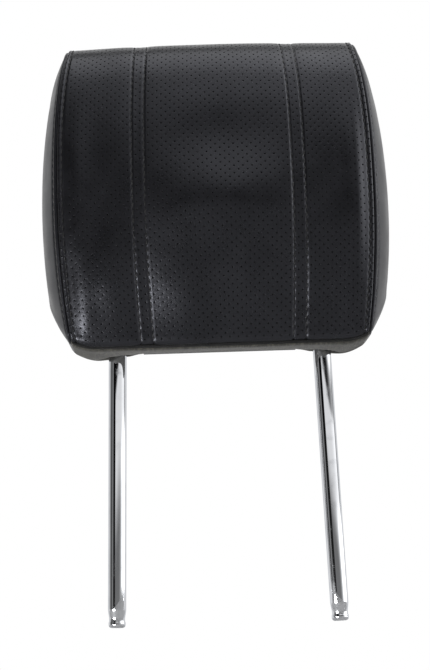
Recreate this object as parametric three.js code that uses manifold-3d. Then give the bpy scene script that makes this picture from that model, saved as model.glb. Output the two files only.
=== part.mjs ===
// Car headrest: a sewn leather cover with a fabric underside, over a foam pad that sits on a
// two-piece moulded core, clamped round one bent chrome rod that makes both posts.
// Millimetres, +Z up. The face looks along -Y. The origin lies between the two posts, level with
// the underside of the head where the posts leave it.
import * as THREE from 'three';
import { mergeVertices } from 'three/addons/utils/BufferGeometryUtils.js';
import Module from 'manifold-3d';

// Rod
const rodDiameter = 12.7;
const postSpacing = 145;
const postLength = 188.5;
const postSplayDegrees = 1.6;
const rodBendRadius = 28;
const crossBarHeight = 120;
const rodSides = 16;
const tipBeadDiameter = 11.9;
const tipBeadLength = 4.6;
const tipNeckDiameter = 11.1;
const tipTaperLength = 7;
const tipFlatDiameter = 7.6;

// Outer form of the head
const headHeight = 225;
const faceReach = 56;
const faceBulgeHeight = 85;
const faceFoot = 46;
const backReach = 51;
const backBulgeHeight = 105;
const backFoot = 45;
const backFootHeight = 6;
const crestSetback = -6;
const footRadius = 9;
const panelHalfWidthMiddle = 110.2;
const panelFootNarrowing = 7.2;
const panelTopNarrowing = 7.9;
const panelTopPower = 2.9;
const panelWidestHeight = 105;
const sideBulge = 13.1;
const sideWidestHeight = 101.7;
const sideRollWidth = 40;
const sideRollExtraLow = 4;
const sideRollPower = 2.25;
const sideRollPowerLow = 1.45;
const sideLowFrom = 4;
const sideLowTo = 50;
const sideCurveUp = 0.001;
const sideCurveAcross = 0.0016;
const sideSpineMargin = 8;
const faceCrown = 6;
const faceCrownRise = 60;
const edgeCrown = 0.65;
const crownPower = 2.3;
const cornerLift = 4.8;
const cornerLiftWidth = 18;
const lobeDrop = 1.2;
const lobeInset = 15.5;
const lobeWidth = 13.2;
const lobeFrontShare = 0.3;
const baseArch = 5.4;
const archFlatShare = 0.5;
const archEndShare = 0.78;
const liftReach = 40;
const bendWeight = 80;

// Cover
const coverThickness = 2.4;
const seamGap = 0.4;
const seamDepth = 1.6;
const seamRoll = 4.2;
const seamHeight = 2;
const backSeamHeight = 196;
const stitchPairOffset = 51.8;
const stitchPairSpread = 0.46;
const stitchRowSpacing = 8.7;
const stitchShift = 2.3;
const stitchGrooveDepth = 0.7;
const stitchGrooveWidth = 2.6;

// Closure under the head
const closureLength = 108;
const closureWall = 1.2;
const closureWidth = 9.2;
const closureHeight = 4.5;
const closureInset = 0.3;
const closurePlay = 0.4;

// Core, its screws and the clearances between pieces
const coreHalfWidth = 86;
const coreBottom = 12;
const coreFrontDepth = 24;
const coreRearDepth = 22;
const coreCornerRadius = 14;
const coreWall = 2.6;
const coreBevel = 3;
const ribThickness = 3;
const bossDiameter = 10;
const screwInsetX = 45;
const screwLowHeight = 50;
const screwAboveBar = 18;
const coreAboveScrew = 14;
const screwDiameter = 4;
const screwHeadDiameter = 8;
const screwHeadHeight = 2.6;
const screwLength = 30;
const screwRecess = 1.3;
const fitGap = 0.3;
const foamGap = 0.6;

const rodRadius = rodDiameter / 2;
// Length of a curve's handle that makes a quarter of a circle, as a share of the radius
const quarterTurnHandle = 0.5523;
// Half the size of a box that reaches past everything
const farReach = 250;
const splay = THREE.MathUtils.degToRad(postSplayDegrees);
const panelHalfWidthTop = panelHalfWidthMiddle - panelTopNarrowing;
const sideReach = panelHalfWidthMiddle + sideBulge;
const screwHighHeight = crossBarHeight + screwAboveBar;
const coreTop = screwHighHeight + coreAboveScrew;

const wasm = await Module();
wasm.setup();

// Materials
const finish = (name, color, roughness, metalness) =>
  new THREE.MeshStandardMaterial({ name, color, roughness, metalness });
const materials = {
  perforatedLeather: finish('perforated_leather', 0x1d1d20, 0.5, 0),
  plainLeather: finish('plain_leather', 0x232326, 0.45, 0),
  baseFabric: finish('base_fabric', 0x4a4843, 0.95, 0),
  chrome: finish('chrome', 0xd6d9dc, 0.08, 1),
  closurePlastic: finish('closure_plastic', 0x18181a, 0.5, 0),
  foam: finish('foam', 0xe2d9b8, 0.95, 0),
  corePlastic: finish('core_plastic', 0x2b2c2e, 0.6, 0),
  screwSteel: finish('screw_steel', 0x8e9094, 0.35, 1),
};

// Solids: a closed mesh becomes a manifold solid, and a solid becomes a geometry again
function solidOf(geometry) {
  const bare = geometry.clone();
  bare.deleteAttribute('normal');
  bare.deleteAttribute('uv');
  const merged = mergeVertices(bare, 1e-4);
  return new wasm.Manifold(
    new wasm.Mesh({
      numProp: 3,
      vertProperties: merged.attributes.position.array,
      triVerts: new Uint32Array(merged.index.array),
    }),
  );
}

function geometryOf(solid) {
  const mesh = solid.getMesh();
  const geometry = new THREE.BufferGeometry();
  geometry.setAttribute('position', new THREE.BufferAttribute(mesh.vertProperties, 3));
  geometry.setIndex(new THREE.BufferAttribute(mesh.triVerts, 1));
  return geometry;
}

const join = (...solids) => solids.reduce((sum, solid) => sum.add(solid));
const cut = (solid, ...tools) => tools.reduce((rest, tool) => rest.subtract(tool), solid);

function boxSolid(low, high) {
  const size = high.map((value, axis) => value - low[axis]);
  const centre = high.map((value, axis) => (value + low[axis]) / 2);
  return solidOf(new THREE.BoxGeometry(...size).translate(...centre));
}

// A cylinder along Y between two depths
function pegSolid(x, z, diameter, fromY, toY, sides = 14) {
  const peg = new THREE.CylinderGeometry(diameter / 2, diameter / 2, toY - fromY, sides);
  return solidOf(peg.translate(x, (fromY + toY) / 2, z));
}

// Section of the head through its middle, in the (y, z) plane, from the middle of the underside
// forward, up the face, over the top and down the back
const headSection = new THREE.Path()
  .moveTo(0, 0)
  .lineTo(-faceFoot + footRadius, 0)
  .absarc(-faceFoot + footRadius, footRadius, footRadius, -Math.PI / 2, -Math.PI, true)
  .bezierCurveTo(
    -faceFoot - 0.03 * faceBulgeHeight,
    footRadius + 0.33 * faceBulgeHeight,
    -faceReach,
    0.55 * faceBulgeHeight,
    -faceReach,
    faceBulgeHeight,
  )
  .bezierCurveTo(
    -faceReach,
    faceBulgeHeight + 0.69 * (headHeight - faceBulgeHeight),
    crestSetback - 0.64 * (faceReach + crestSetback),
    headHeight,
    crestSetback,
    headHeight,
  )
  .bezierCurveTo(
    crestSetback + 0.6 * (backReach - crestSetback),
    headHeight,
    backReach,
    backBulgeHeight + 0.64 * (headHeight - backBulgeHeight),
    backReach,
    backBulgeHeight,
  )
  .bezierCurveTo(
    backReach,
    0.6 * backBulgeHeight,
    backFoot,
    backFootHeight + footRadius + 0.3 * backBulgeHeight,
    backFoot,
    backFootHeight + footRadius,
  )
  .absarc(backFoot - footRadius, backFootHeight + footRadius, footRadius, 0, -Math.PI / 2, true)
  .bezierCurveTo(0.6 * backFoot, backFootHeight, 0.3 * backFoot, 0, 0, 0);
const sectionLength = headSection.getLength();

// Share of the section's length at which it reaches a height, searched between two shares
function shareAtHeight(height, from, to) {
  let low = from;
  let high = to;
  const rising = headSection.getPoint(to).y > headSection.getPoint(from).y;
  for (let step = 0; step < 40; step += 1) {
    const middle = (low + high) / 2;
    const below = headSection.getPoint(middle).y < height;
    if (below === rising) low = middle;
    else high = middle;
  }
  return low;
}

const curveShares = headSection.getCurveLengths().map((length) => length / sectionLength);
const faceFootShare = curveShares[0];
const faceShare = curveShares[2];
const crestShare = curveShares[3];
const backShare = curveShares[4];
const backFootShare = curveShares[6];
const frontSeamShare = shareAtHeight(seamHeight, faceFootShare, faceShare);
const topSeamShare = shareAtHeight(backSeamHeight, crestShare, backShare);
const rearSeamShare = shareAtHeight(backFootHeight + seamHeight, backShare, backFootShare);

const between = (from, to, count) =>
  Array.from({ length: count + 1 }, (_, index) => from + ((to - from) * index) / count);
const clamp01 = (value) => Math.min(1, Math.max(0, value));
const smooth = (from, to, value) => {
  const share = clamp01((value - from) / (to - from));
  return share * share * (3 - 2 * share);
};
const wrap = (share) => share - Math.floor(share);

// Point and outward normal of the section at a share of its length
function sectionFrame(share) {
  const step = 0.6 / sectionLength;
  const point = headSection.getPoint(wrap(share));
  const ahead = headSection.getPoint(wrap(share + step));
  const behind = headSection.getPoint(wrap(share - step));
  const tangent = ahead.clone().sub(behind).normalize();
  return { point, normal: new THREE.Vector2(-tangent.y, tangent.x) };
}

// Places along the section between two seams, closer together where it bends
function spreadShares(from, to, count) {
  const fine = 400;
  const marks = between(from, to, fine);
  const weights = [0];
  for (let index = 1; index <= fine; index += 1) {
    const turn = sectionFrame(marks[index]).normal.distanceTo(sectionFrame(marks[index - 1]).normal);
    const length = (marks[index] - marks[index - 1]) * sectionLength;
    weights.push(weights[index - 1] + length + bendWeight * turn);
  }
  return between(0, weights.at(-1), count).map((goal) => {
    const index = Math.max(1, weights.findIndex((weight) => weight >= goal - 1e-9));
    const part = (goal - weights[index - 1]) / (weights[index] - weights[index - 1]);
    return marks[index - 1] + part * (marks[index] - marks[index - 1]);
  });
}

// Half the width of the strip of panels between the two side seams
function stripHalfWidth(height) {
  const below = clamp01((panelWidestHeight - height) / panelWidestHeight);
  const above = clamp01((height - panelWidestHeight) / (headHeight - panelWidestHeight));
  return (
    panelHalfWidthMiddle -
    panelFootNarrowing * below ** 2 -
    panelTopNarrowing * above ** panelTopPower
  );
}

// Crown of the strip: how far it lies inside the middle section, at x
function stripCrown(point, normal, across) {
  const upright = smooth(0, faceCrownRise, point.y) * Math.abs(normal.x);
  return (edgeCrown + faceCrown * upright) * across ** crownPower;
}

const archRise = (y) => baseArch * smooth(-faceFoot, backFoot, y);

// Lift of the underside at x, fading out up the head: the corners turn up, a low lobe lies outside
// each post behind the front edge, and an arch between the posts rises towards the rear
function stripLift(point, x, half) {
  const corner = clamp01((Math.abs(x) - half + cornerLiftWidth) / cornerLiftWidth);
  const hollow = Math.exp(-(((Math.abs(x) - half + lobeInset) / lobeWidth) ** 2));
  const lobe = hollow * smooth(-faceFoot, -lobeFrontShare * faceFoot, point.x);
  const arch = archRise(point.x) * (1 - smooth(archFlatShare, archEndShare, Math.abs(x) / half));
  const fade = 1 - smooth(0, liftReach, point.y);
  return fade * (cornerLift * corner ** 2 - lobeDrop * lobe + arch);
}

function stripPoint(share, x) {
  const { point, normal } = sectionFrame(share);
  const half = stripHalfWidth(point.y);
  const crown = stripCrown(point, normal, Math.abs(x) / half);
  const lift = stripLift(point, x, half);
  return new THREE.Vector3(x, point.x - normal.x * crown, point.y - normal.y * crown + lift);
}

function stripNormal(share, x) {
  const along = stripPoint(share + 1 / sectionLength, x).sub(stripPoint(share - 1 / sectionLength, x));
  const across = stripPoint(share, x + 0.5).sub(stripPoint(share, x - 0.5));
  return across.cross(along).normalize();
}

const edgePoint = (share) => {
  const half = stripHalfWidth(sectionFrame(share).point.y);
  return stripPoint(share, half);
};

// Side of the head: a shallow dome that rolls off towards the seam all round it. inward is the
// distance from the seam, measured towards the upright line through the middle of the side.
const sideSpineLow = sideRollWidth + sideSpineMargin;
const sideSpineHigh = headHeight - sideRollWidth - sideSpineMargin;
const sideDome = (y, z) =>
  sideReach - sideCurveUp * (z - sideWidestHeight) ** 2 - sideCurveAcross * y ** 2;

function sideInward(edge) {
  const spine = new THREE.Vector3(edge.x, 0, THREE.MathUtils.clamp(edge.z, sideSpineLow, sideSpineHigh));
  return spine.sub(edge);
}

function sidePoint(share, inward) {
  const edge = edgePoint(share);
  const direction = sideInward(edge).normalize();
  const place = edge.clone().addScaledVector(direction, inward);
  const low = 1 - smooth(sideLowFrom, sideLowTo, edge.z);
  const rollWidth = sideRollWidth + sideRollExtraLow * low;
  const rollPower = sideRollPower - (sideRollPower - sideRollPowerLow) * low;
  const rollDepth = sideDome(edge.y, edge.z) - edge.x;
  const roll = rollDepth * clamp01(1 - inward / rollWidth) ** rollPower;
  place.x = sideDome(place.y, place.z) - roll;
  return place;
}

function sideNormal(share, inward) {
  const along = sidePoint(share + 1 / sectionLength, inward).sub(
    sidePoint(share - 1 / sectionLength, inward),
  );
  const across = sidePoint(share, inward + 0.5).sub(sidePoint(share, Math.max(0, inward - 0.5)));
  return across.cross(along).normalize();
}

// Direction between the normals of strip and side at the seam, and how much deeper it has to reach
function seamFrame(share) {
  const edge = edgePoint(share);
  const strip = stripNormal(share, edge.x - 1);
  const side = sideNormal(share, 1);
  const normal = strip.clone().add(side).normalize();
  return { normal, stretch: 1 / Math.max(0.6, normal.dot(strip)) };
}

// Closed shell between an outer and an inner grid of points. Rows run along the first index.
function shellSolid(outer, inner, ring = false, poles = null) {
  const rows = outer.length;
  const columns = outer[0].length;
  const points = [...outer.flat(), ...inner.flat()];
  const at = (layer, row, column) => layer * rows * columns + (row % rows) * columns + column;
  const faces = [];
  const quad = (a, b, c, d) => faces.push([a, b, c], [a, c, d]);
  const lastRow = ring ? rows : rows - 1;
  for (let row = 0; row < lastRow; row += 1) {
    for (let column = 0; column < columns - 1; column += 1) {
      quad(
        at(0, row, column),
        at(0, row, column + 1),
        at(0, row + 1, column + 1),
        at(0, row + 1, column),
      );
      quad(
        at(1, row, column),
        at(1, row + 1, column),
        at(1, row + 1, column + 1),
        at(1, row, column + 1),
      );
    }
    quad(at(0, row, 0), at(0, row + 1, 0), at(1, row + 1, 0), at(1, row, 0));
    const last = columns - 1;
    if (poles) {
      const outerPole = points.length;
      const innerPole = points.length + 1;
      faces.push([at(0, row, last), outerPole, at(0, row + 1, last)]);
      faces.push([at(1, row, last), at(1, row + 1, last), innerPole]);
    } else {
      quad(at(0, row, last), at(1, row, last), at(1, row + 1, last), at(0, row + 1, last));
    }
  }
  if (!ring) {
    for (let column = 0; column < columns - 1; column += 1) {
      quad(at(0, 0, column), at(1, 0, column), at(1, 0, column + 1), at(0, 0, column + 1));
      const last = rows - 1;
      quad(
        at(0, last, column),
        at(0, last, column + 1),
        at(1, last, column + 1),
        at(1, last, column),
      );
    }
  }
  return solidFromFaces(poles ? [...points, ...poles] : points, faces);
}

// A closed surface as a solid, its faces turned outward whichever way they were listed
function solidFromFaces(points, faces) {
  const volume = faces.reduce(
    (sum, [a, b, c]) => sum + points[a].dot(points[b].clone().cross(points[c])),
    0,
  );
  const turned = volume > 0 ? faces : faces.map(([a, b, c]) => [a, c, b]);
  const geometry = new THREE.BufferGeometry().setFromPoints(points);
  geometry.setIndex(turned.flat());
  return solidOf(geometry);
}

// Places across a panel of the strip, from its left seam to its right one
const stitchPair = (height) =>
  stitchPairOffset + stitchPairSpread * (stripHalfWidth(height) - panelHalfWidthTop);
const stitchRows = (height) =>
  [-1, 1].flatMap((side) =>
    [-1, 1].map((row) => side * stitchPair(height) + stitchShift + (row * stitchRowSpacing) / 2),
  );
const seamInsets = [seamGap / 2, 0.31 * seamRoll, 0.62 * seamRoll, seamRoll];
const cornerInsets = [0.42, 0.68, 1, 1.42].map((part) => part * cornerLiftWidth);

function frontColumns(height) {
  const half = stripHalfWidth(height);
  const rows = stitchRows(height);
  const groove = (x) => [x - stitchGrooveWidth / 2, x, x + stitchGrooveWidth / 2];
  const [outerLeft, innerLeft, innerRight, outerRight] = rows.map(groove);
  const left = [...seamInsets, ...cornerInsets].map((inset) => inset - half);
  return [
    ...left,
    ...outerLeft,
    ...innerLeft,
    ...between(innerLeft[2], innerRight[0], 5).slice(1, -1),
    ...innerRight,
    ...outerRight,
    ...left.map((x) => -x).reverse(),
  ];
}

function softColumns(height, rim) {
  const half = stripHalfWidth(height);
  const left = [...rim, ...cornerInsets].map((inset) => inset - half);
  const middle = [0.69, 0.61, 0.52, 0.4, 0.2].map((part) => -part * half);
  return [...left, ...middle, 0, ...[...left, ...middle].map((x) => -x).reverse()];
}
const plainColumns = (height) => softColumns(height, seamInsets);

// Depth of the sewn rows and of the rolled edge at a place on the strip
function grooveDepth(height, x) {
  return stitchRows(height).reduce((depth, row) => {
    const off = Math.abs(x - row) / (stitchGrooveWidth / 2);
    return Math.max(depth, stitchGrooveDepth * clamp01(1 - off));
  }, 0);
}

const rollShare = (inset) => clamp01(1 - inset / seamRoll) ** 2;

// A strip panel between two seams across it, at the first and the last of the shares
function stripPanel(shares, columnsAt, grooved) {
  const [first, last] = [shares[0], shares.at(-1)];
  const rows = [
    ...seamInsets.map((rim) => [first + rim / sectionLength, rim]),
    ...shares.slice(1, -1).map((share) => [share, seamRoll]),
    ...seamInsets.map((rim) => [last - rim / sectionLength, rim]).reverse(),
  ];
  const layer = (inner) =>
    rows.map(([share, rim]) => {
      const height = sectionFrame(share).point.y;
      return columnsAt(height).map((x) => panelPoint(share, x, rim, inner, grooved));
    });
  return shellSolid(layer(false), layer(true));
}

function panelPoint(share, x, rim, inner, grooved) {
  const height = sectionFrame(share).point.y;
  const sideRoll = rollShare(stripHalfWidth(height) - Math.abs(x));
  const groove = grooved ? grooveDepth(height, x) : 0;
  const sunk = seamDepth * Math.max(sideRoll, rollShare(rim)) + groove;
  const mitre = seamFrame(share);
  mitre.normal.x *= Math.sign(x) || 1;
  const normal = stripNormal(share, x).lerp(mitre.normal, sideRoll).normalize();
  const stretch = 1 + (mitre.stretch - 1) * sideRoll;
  return stripPoint(share, x).addScaledVector(normal, inner ? -coverThickness * stretch : -sunk);
}

const faceShares = spreadShares(frontSeamShare, topSeamShare, 17);
const backShares = spreadShares(topSeamShare, rearSeamShare, 11);
const baseShares = spreadShares(rearSeamShare, frontSeamShare + 1, 8);

const frontPanel = stripPanel(faceShares, frontColumns, true);
const rearPanel = stripPanel(backShares, plainColumns, false);
const underside = stripPanel(baseShares, plainColumns, false);

// Side panels: rings of points from the seam inwards, then smaller rings to a middle point
const sideRingParts = [0.17, 0.3, 0.48, 0.72];
const sideShrink = [0.4, 0.75];
const sideRingInset = (share, part) => part * sideInward(edgePoint(share)).length();
const sideMiddle = new THREE.Vector3(0, 0, (sideSpineLow + sideSpineHigh) / 2);
const sideShares = [faceShares, backShares, baseShares].flatMap((shares) => shares.slice(0, -1));

// A point of the side between its innermost ring and its middle, at a depth below the surface
function sideCorePoint(share, part, depth) {
  const ring = sidePoint(share, sideRingInset(share, sideRingParts.at(-1)));
  const rollLeft = sideDome(ring.y, ring.z) - ring.x;
  const place = ring.lerp(sideMiddle, part);
  place.x = sideDome(place.y, place.z) - rollLeft * (1 - part) ** 2 - depth;
  return place;
}

function sideLayer(layer) {
  const rings = sideShares.map((share) => {
    const insets = [...seamInsets, ...sideRingParts.map((part) => sideRingInset(share, part))];
    const line = insets.map((inset) => {
      const roll = rollShare(inset);
      const mitre = seamFrame(share);
      const normal = sideNormal(share, inset).lerp(mitre.normal, roll).normalize();
      const stretch = 1 + (mitre.stretch - 1) * roll;
      const depth = layer === 0 ? seamDepth * roll : coverThickness * stretch;
      return sidePoint(share, inset).addScaledVector(normal, -depth);
    });
    return [...line, ...sideShrink.map((part) => sideCorePoint(share, part, layer * coverThickness))];
  });
  const pole = sideMiddle.clone();
  pole.x = sideDome(pole.y, pole.z) - layer * coverThickness;
  return { rings, pole };
}

function mirrored(solid) {
  const flipped = geometryOf(solid);
  flipped.scale(-1, 1, 1);
  const index = flipped.index.array;
  for (let corner = 0; corner < index.length; corner += 3) {
    [index[corner + 1], index[corner + 2]] = [index[corner + 2], index[corner + 1]];
  }
  return solidOf(flipped);
}

const sideOuter = sideLayer(0);
const sideInner = sideLayer(1);
const sidePoles = [sideOuter.pole, sideInner.pole];
const rightSidePanel = shellSolid(sideOuter.rings, sideInner.rings, true, sidePoles);
const leftSidePanel = mirrored(rightSidePanel);

// Rod: two turned posts and a bent tube joined into one piece. grow widens it for clearance cuts.
const postX = (height) => postSpacing / 2 - Math.tan(splay) * height;

function postSolid(side, grow) {
  const radius = rodRadius + grow;
  const bend = crossBarHeight - rodBendRadius;
  const top = bend / Math.cos(splay);
  const end = -postLength / Math.cos(splay) - grow;
  const bead = tipBeadDiameter / 2 + grow;
  const neck = tipNeckDiameter / 2 + grow;
  const outline = [
    [0, end],
    [tipFlatDiameter / 2 + grow, end],
    [bead - 0.1 * tipBeadLength, end + 0.18 * tipBeadLength],
    [bead, end + 0.45 * tipBeadLength],
    [bead, end + 0.7 * tipBeadLength],
    [neck, end + tipBeadLength],
    [neck, end + 1.2 * tipBeadLength],
    [radius - 0.25 * (radius - neck), end + 1.2 * tipBeadLength + 0.6 * tipTaperLength],
    [radius, end + 1.2 * tipBeadLength + tipTaperLength],
    [radius, top],
    [0, top],
  ];
  const lathe = new THREE.LatheGeometry(
    outline.map(([r, z]) => new THREE.Vector2(r, z)),
    rodSides,
  );
  lathe.rotateX(Math.PI / 2);
  lathe.rotateY(-side * splay);
  lathe.translate((side * postSpacing) / 2, 0, 0);
  return solidOf(lathe);
}

function bentBarSolid(grow) {
  const bendLow = crossBarHeight - rodBendRadius;
  const stubLength = 4;
  const handle = quarterTurnHandle * rodBendRadius;
  const corner = (side) => {
    const start = new THREE.Vector3(side * postX(bendLow), 0, bendLow);
    const end = new THREE.Vector3(side * (postX(bendLow) - rodBendRadius), 0, crossBarHeight);
    const leaveStart = start.clone().add(
      new THREE.Vector3(-side * Math.sin(splay), 0, Math.cos(splay)).multiplyScalar(handle),
    );
    const reachEnd = end.clone().add(new THREE.Vector3(side * handle, 0, 0));
    return [start, leaveStart, reachEnd, end];
  };
  const [leftStart, leftOut, leftIn, leftEnd] = corner(-1);
  const [rightStart, rightOut, rightIn, rightEnd] = corner(1);
  const below = (point, side) =>
    point
      .clone()
      .add(new THREE.Vector3(side * Math.sin(splay), 0, -Math.cos(splay)).multiplyScalar(stubLength));
  const path = new THREE.CurvePath();
  path.add(new THREE.LineCurve3(below(leftStart, -1), leftStart));
  path.add(new THREE.CubicBezierCurve3(leftStart, leftOut, leftIn, leftEnd));
  path.add(new THREE.LineCurve3(leftEnd, rightEnd));
  path.add(new THREE.CubicBezierCurve3(rightEnd, rightIn, rightOut, rightStart));
  path.add(new THREE.LineCurve3(rightStart, below(rightStart, 1)));
  const radius = rodRadius + grow;
  const section = new THREE.Shape(
    Array.from({ length: rodSides }, (_, index) => {
      const angle = (2 * Math.PI * index) / rodSides;
      return new THREE.Vector2(radius * Math.cos(angle), radius * Math.sin(angle));
    }),
  );
  const sweep = { steps: 32, bevelEnabled: false, extrudePath: path };
  return solidOf(new THREE.ExtrudeGeometry(section, sweep));
}

const rodSolid = (grow) => join(postSolid(-1, grow), postSolid(1, grow), bentBarSolid(grow));
const postFrame = rodSolid(0);
const rodRoom = rodSolid(fitGap);

// Underside: two fabric flaps that meet between the seams, round the posts and the closure strips
const closureRoom = boxSolid(
  [-closureLength / 2 - fitGap, -closureWidth / 2 - fitGap, -2 * closureHeight],
  [closureLength / 2 + fitGap, closureWidth / 2 + fitGap, 2 * closureHeight],
);
const frontHalf = boxSolid([-farReach, -farReach, -farReach], [farReach, -seamGap / 2, farReach]);
const rearHalf = boxSolid([-farReach, seamGap / 2, -farReach], [farReach, farReach, farReach]);
const baseFrontFlap = cut(underside.intersect(frontHalf), rodRoom, closureRoom);
const baseRearFlap = cut(underside.intersect(rearHalf), rodRoom, closureRoom);

// Closure: two J profiles hooked into each other, as outlines in the (y, z) plane
function stripSolid(outline) {
  const shape = new THREE.Shape(outline.map(([y, z]) => new THREE.Vector2(y, z)));
  const bar = new THREE.ExtrudeGeometry(shape, { depth: closureLength, bevelEnabled: false });
  bar.rotateX(Math.PI / 2).rotateZ(Math.PI / 2).translate(-closureLength / 2, 0, 0);
  return solidOf(bar);
}

const closureHalf = closureWidth / 2;
const closureBottom = closureInset + archRise(0);
const closureTop = closureBottom + closureHeight;
const catchLipFar = 1.5 * closureWall;
const catchLipNear = catchLipFar - closureWall;
const hookLipFar = catchLipNear - closurePlay;
const hookLipNear = hookLipFar - closureWall;
const hookUnder = closureTop - closureWall;
const catchStrip = stripSolid([
  [-closureHalf, closureBottom],
  [catchLipFar, closureBottom],
  [catchLipFar, hookUnder - closurePlay],
  [catchLipNear, hookUnder - closurePlay],
  [catchLipNear, closureBottom + closureWall],
  [closureWall - closureHalf, closureBottom + closureWall],
  [closureWall - closureHalf, closureTop],
  [-closureHalf, closureTop],
]);
const hookStrip = stripSolid([
  [hookLipNear, closureTop],
  [hookLipNear, closureBottom + closureWall + closurePlay],
  [hookLipFar, closureBottom + closureWall + closurePlay],
  [hookLipFar, hookUnder],
  [closureHalf - closureWall, hookUnder],
  [closureHalf - closureWall, closureBottom],
  [closureHalf, closureBottom],
  [closureHalf, closureTop],
]);

// Core: two moulded halves that clamp the rod in ribs, with a screw boss in each corner
const screwPlaces = [
  [-screwInsetX, screwLowHeight],
  [screwInsetX, screwLowHeight],
  [screwInsetX, screwHighHeight],
  [-screwInsetX, screwHighHeight],
];

function coreOutline(inset) {
  const x = coreHalfWidth - inset;
  const low = coreBottom + inset;
  const high = coreTop - inset;
  const radius = coreCornerRadius - inset;
  return new THREE.Shape()
    .moveTo(-x + radius, low)
    .lineTo(x - radius, low)
    .absarc(x - radius, low + radius, radius, -Math.PI / 2, 0, false)
    .lineTo(x, high - radius)
    .absarc(x - radius, high - radius, radius, 0, Math.PI / 2, false)
    .lineTo(-x + radius, high)
    .absarc(-x + radius, high - radius, radius, Math.PI / 2, Math.PI, false)
    .lineTo(-x, low + radius)
    .absarc(-x + radius, low + radius, radius, Math.PI, 1.5 * Math.PI, false);
}

// A block with the core's outline from the parting plane to a depth in front of it or behind it
function coreBlock(inset, depth, bevel, facing) {
  const block = new THREE.ExtrudeGeometry(coreOutline(inset + bevel), {
    depth: depth - bevel,
    bevelEnabled: bevel > 0,
    bevelThickness: bevel,
    bevelSize: bevel,
    bevelSegments: 2,
    curveSegments: 4,
  });
  block.rotateX(Math.PI / 2);
  if (facing > 0) block.rotateZ(Math.PI);
  return solidOf(block).intersect(facing > 0 ? rearHalf : frontHalf);
}

function coreHalf(depth, facing) {
  const block = coreBlock(0, depth, coreBevel, facing);
  const shell = cut(block, coreBlock(coreWall, depth - coreWall, 0, facing));
  const wallY = facing * (depth - coreWall / 2);
  const face = (facing * seamGap) / 2;
  const [fromY, toY] = [wallY, face].sort((a, b) => a - b);
  const bosses = screwPlaces.map(([x, z]) => pegSolid(x, z, bossDiameter, fromY, toY));
  const rib = (x0, x1, z0, z1) => boxSolid([x0, fromY, z0], [x1, toY, z1]);
  const edge = coreHalfWidth - coreWall / 2;
  const inner = postSpacing / 2 - rodDiameter;
  const low = coreBottom + 0.28 * (crossBarHeight - coreBottom);
  const levels = [low, crossBarHeight - 1.6 * rodBendRadius];
  const ribs = levels.flatMap((z) => [
    rib(-edge, -inner, z, z + ribThickness),
    rib(inner, edge, z, z + ribThickness),
  ]);
  const uprights = [-screwInsetX / 2, screwInsetX / 2].map((x) =>
    rib(x - ribThickness / 2, x + ribThickness / 2, crossBarHeight - rodDiameter, coreTop - coreWall / 2),
  );
  return join(shell, ...bosses, ...ribs, ...uprights);
}

const screwHeadFace = coreRearDepth - screwRecess;
const screwTip = screwHeadFace - screwHeadHeight - screwLength;
const screwHoles = screwPlaces.map(([x, z]) =>
  pegSolid(x, z, screwDiameter + 2 * fitGap, screwTip - fitGap, coreRearDepth),
);
const screwSeats = screwPlaces.map(([x, z]) =>
  pegSolid(
    x,
    z,
    screwHeadDiameter + 2 * fitGap,
    screwHeadFace - screwHeadHeight - fitGap,
    coreRearDepth + 1,
  ),
);
const seatBosses = screwPlaces.map(([x, z]) =>
  pegSolid(
    x,
    z,
    screwHeadDiameter + 2 * coreWall,
    screwHeadFace - screwHeadHeight - coreWall,
    coreRearDepth - coreWall / 2,
  ),
);
const coreFrontShell = cut(coreHalf(coreFrontDepth, -1), rodRoom, ...screwHoles);
const coreRearBlock = join(coreHalf(coreRearDepth, 1), ...seatBosses);
const coreRearShell = cut(coreRearBlock, rodRoom, ...screwHoles, ...screwSeats);

// Screw along Y with a crossed recess in its head
function screwSolid(x, z) {
  const head = screwHeadDiameter / 2;
  const shank = screwDiameter / 2;
  const under = -screwHeadHeight;
  const outline = [
    [0, under - screwLength],
    [shank * 0.3, under - screwLength],
    [shank, under - screwLength + screwDiameter],
    [shank, under],
    [head, under],
    [head, under + 0.4 * screwHeadHeight],
    [head * 0.8, under + 0.85 * screwHeadHeight],
    [head * 0.45, 0],
    [0, 0],
  ].map(([r, y]) => new THREE.Vector2(r, y));
  const body = solidOf(new THREE.LatheGeometry(outline, 12).translate(x, screwHeadFace, z));
  const long = 0.3 * screwHeadDiameter;
  const thin = 0.06 * screwHeadDiameter;
  const deep = screwHeadFace - 0.6 * screwHeadHeight;
  const slot = (halfX, halfZ) =>
    boxSolid([x - halfX, deep, z - halfZ], [x + halfX, screwHeadFace + 1, z + halfZ]);
  return cut(body, slot(long, thin), slot(thin, long));
}

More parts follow.
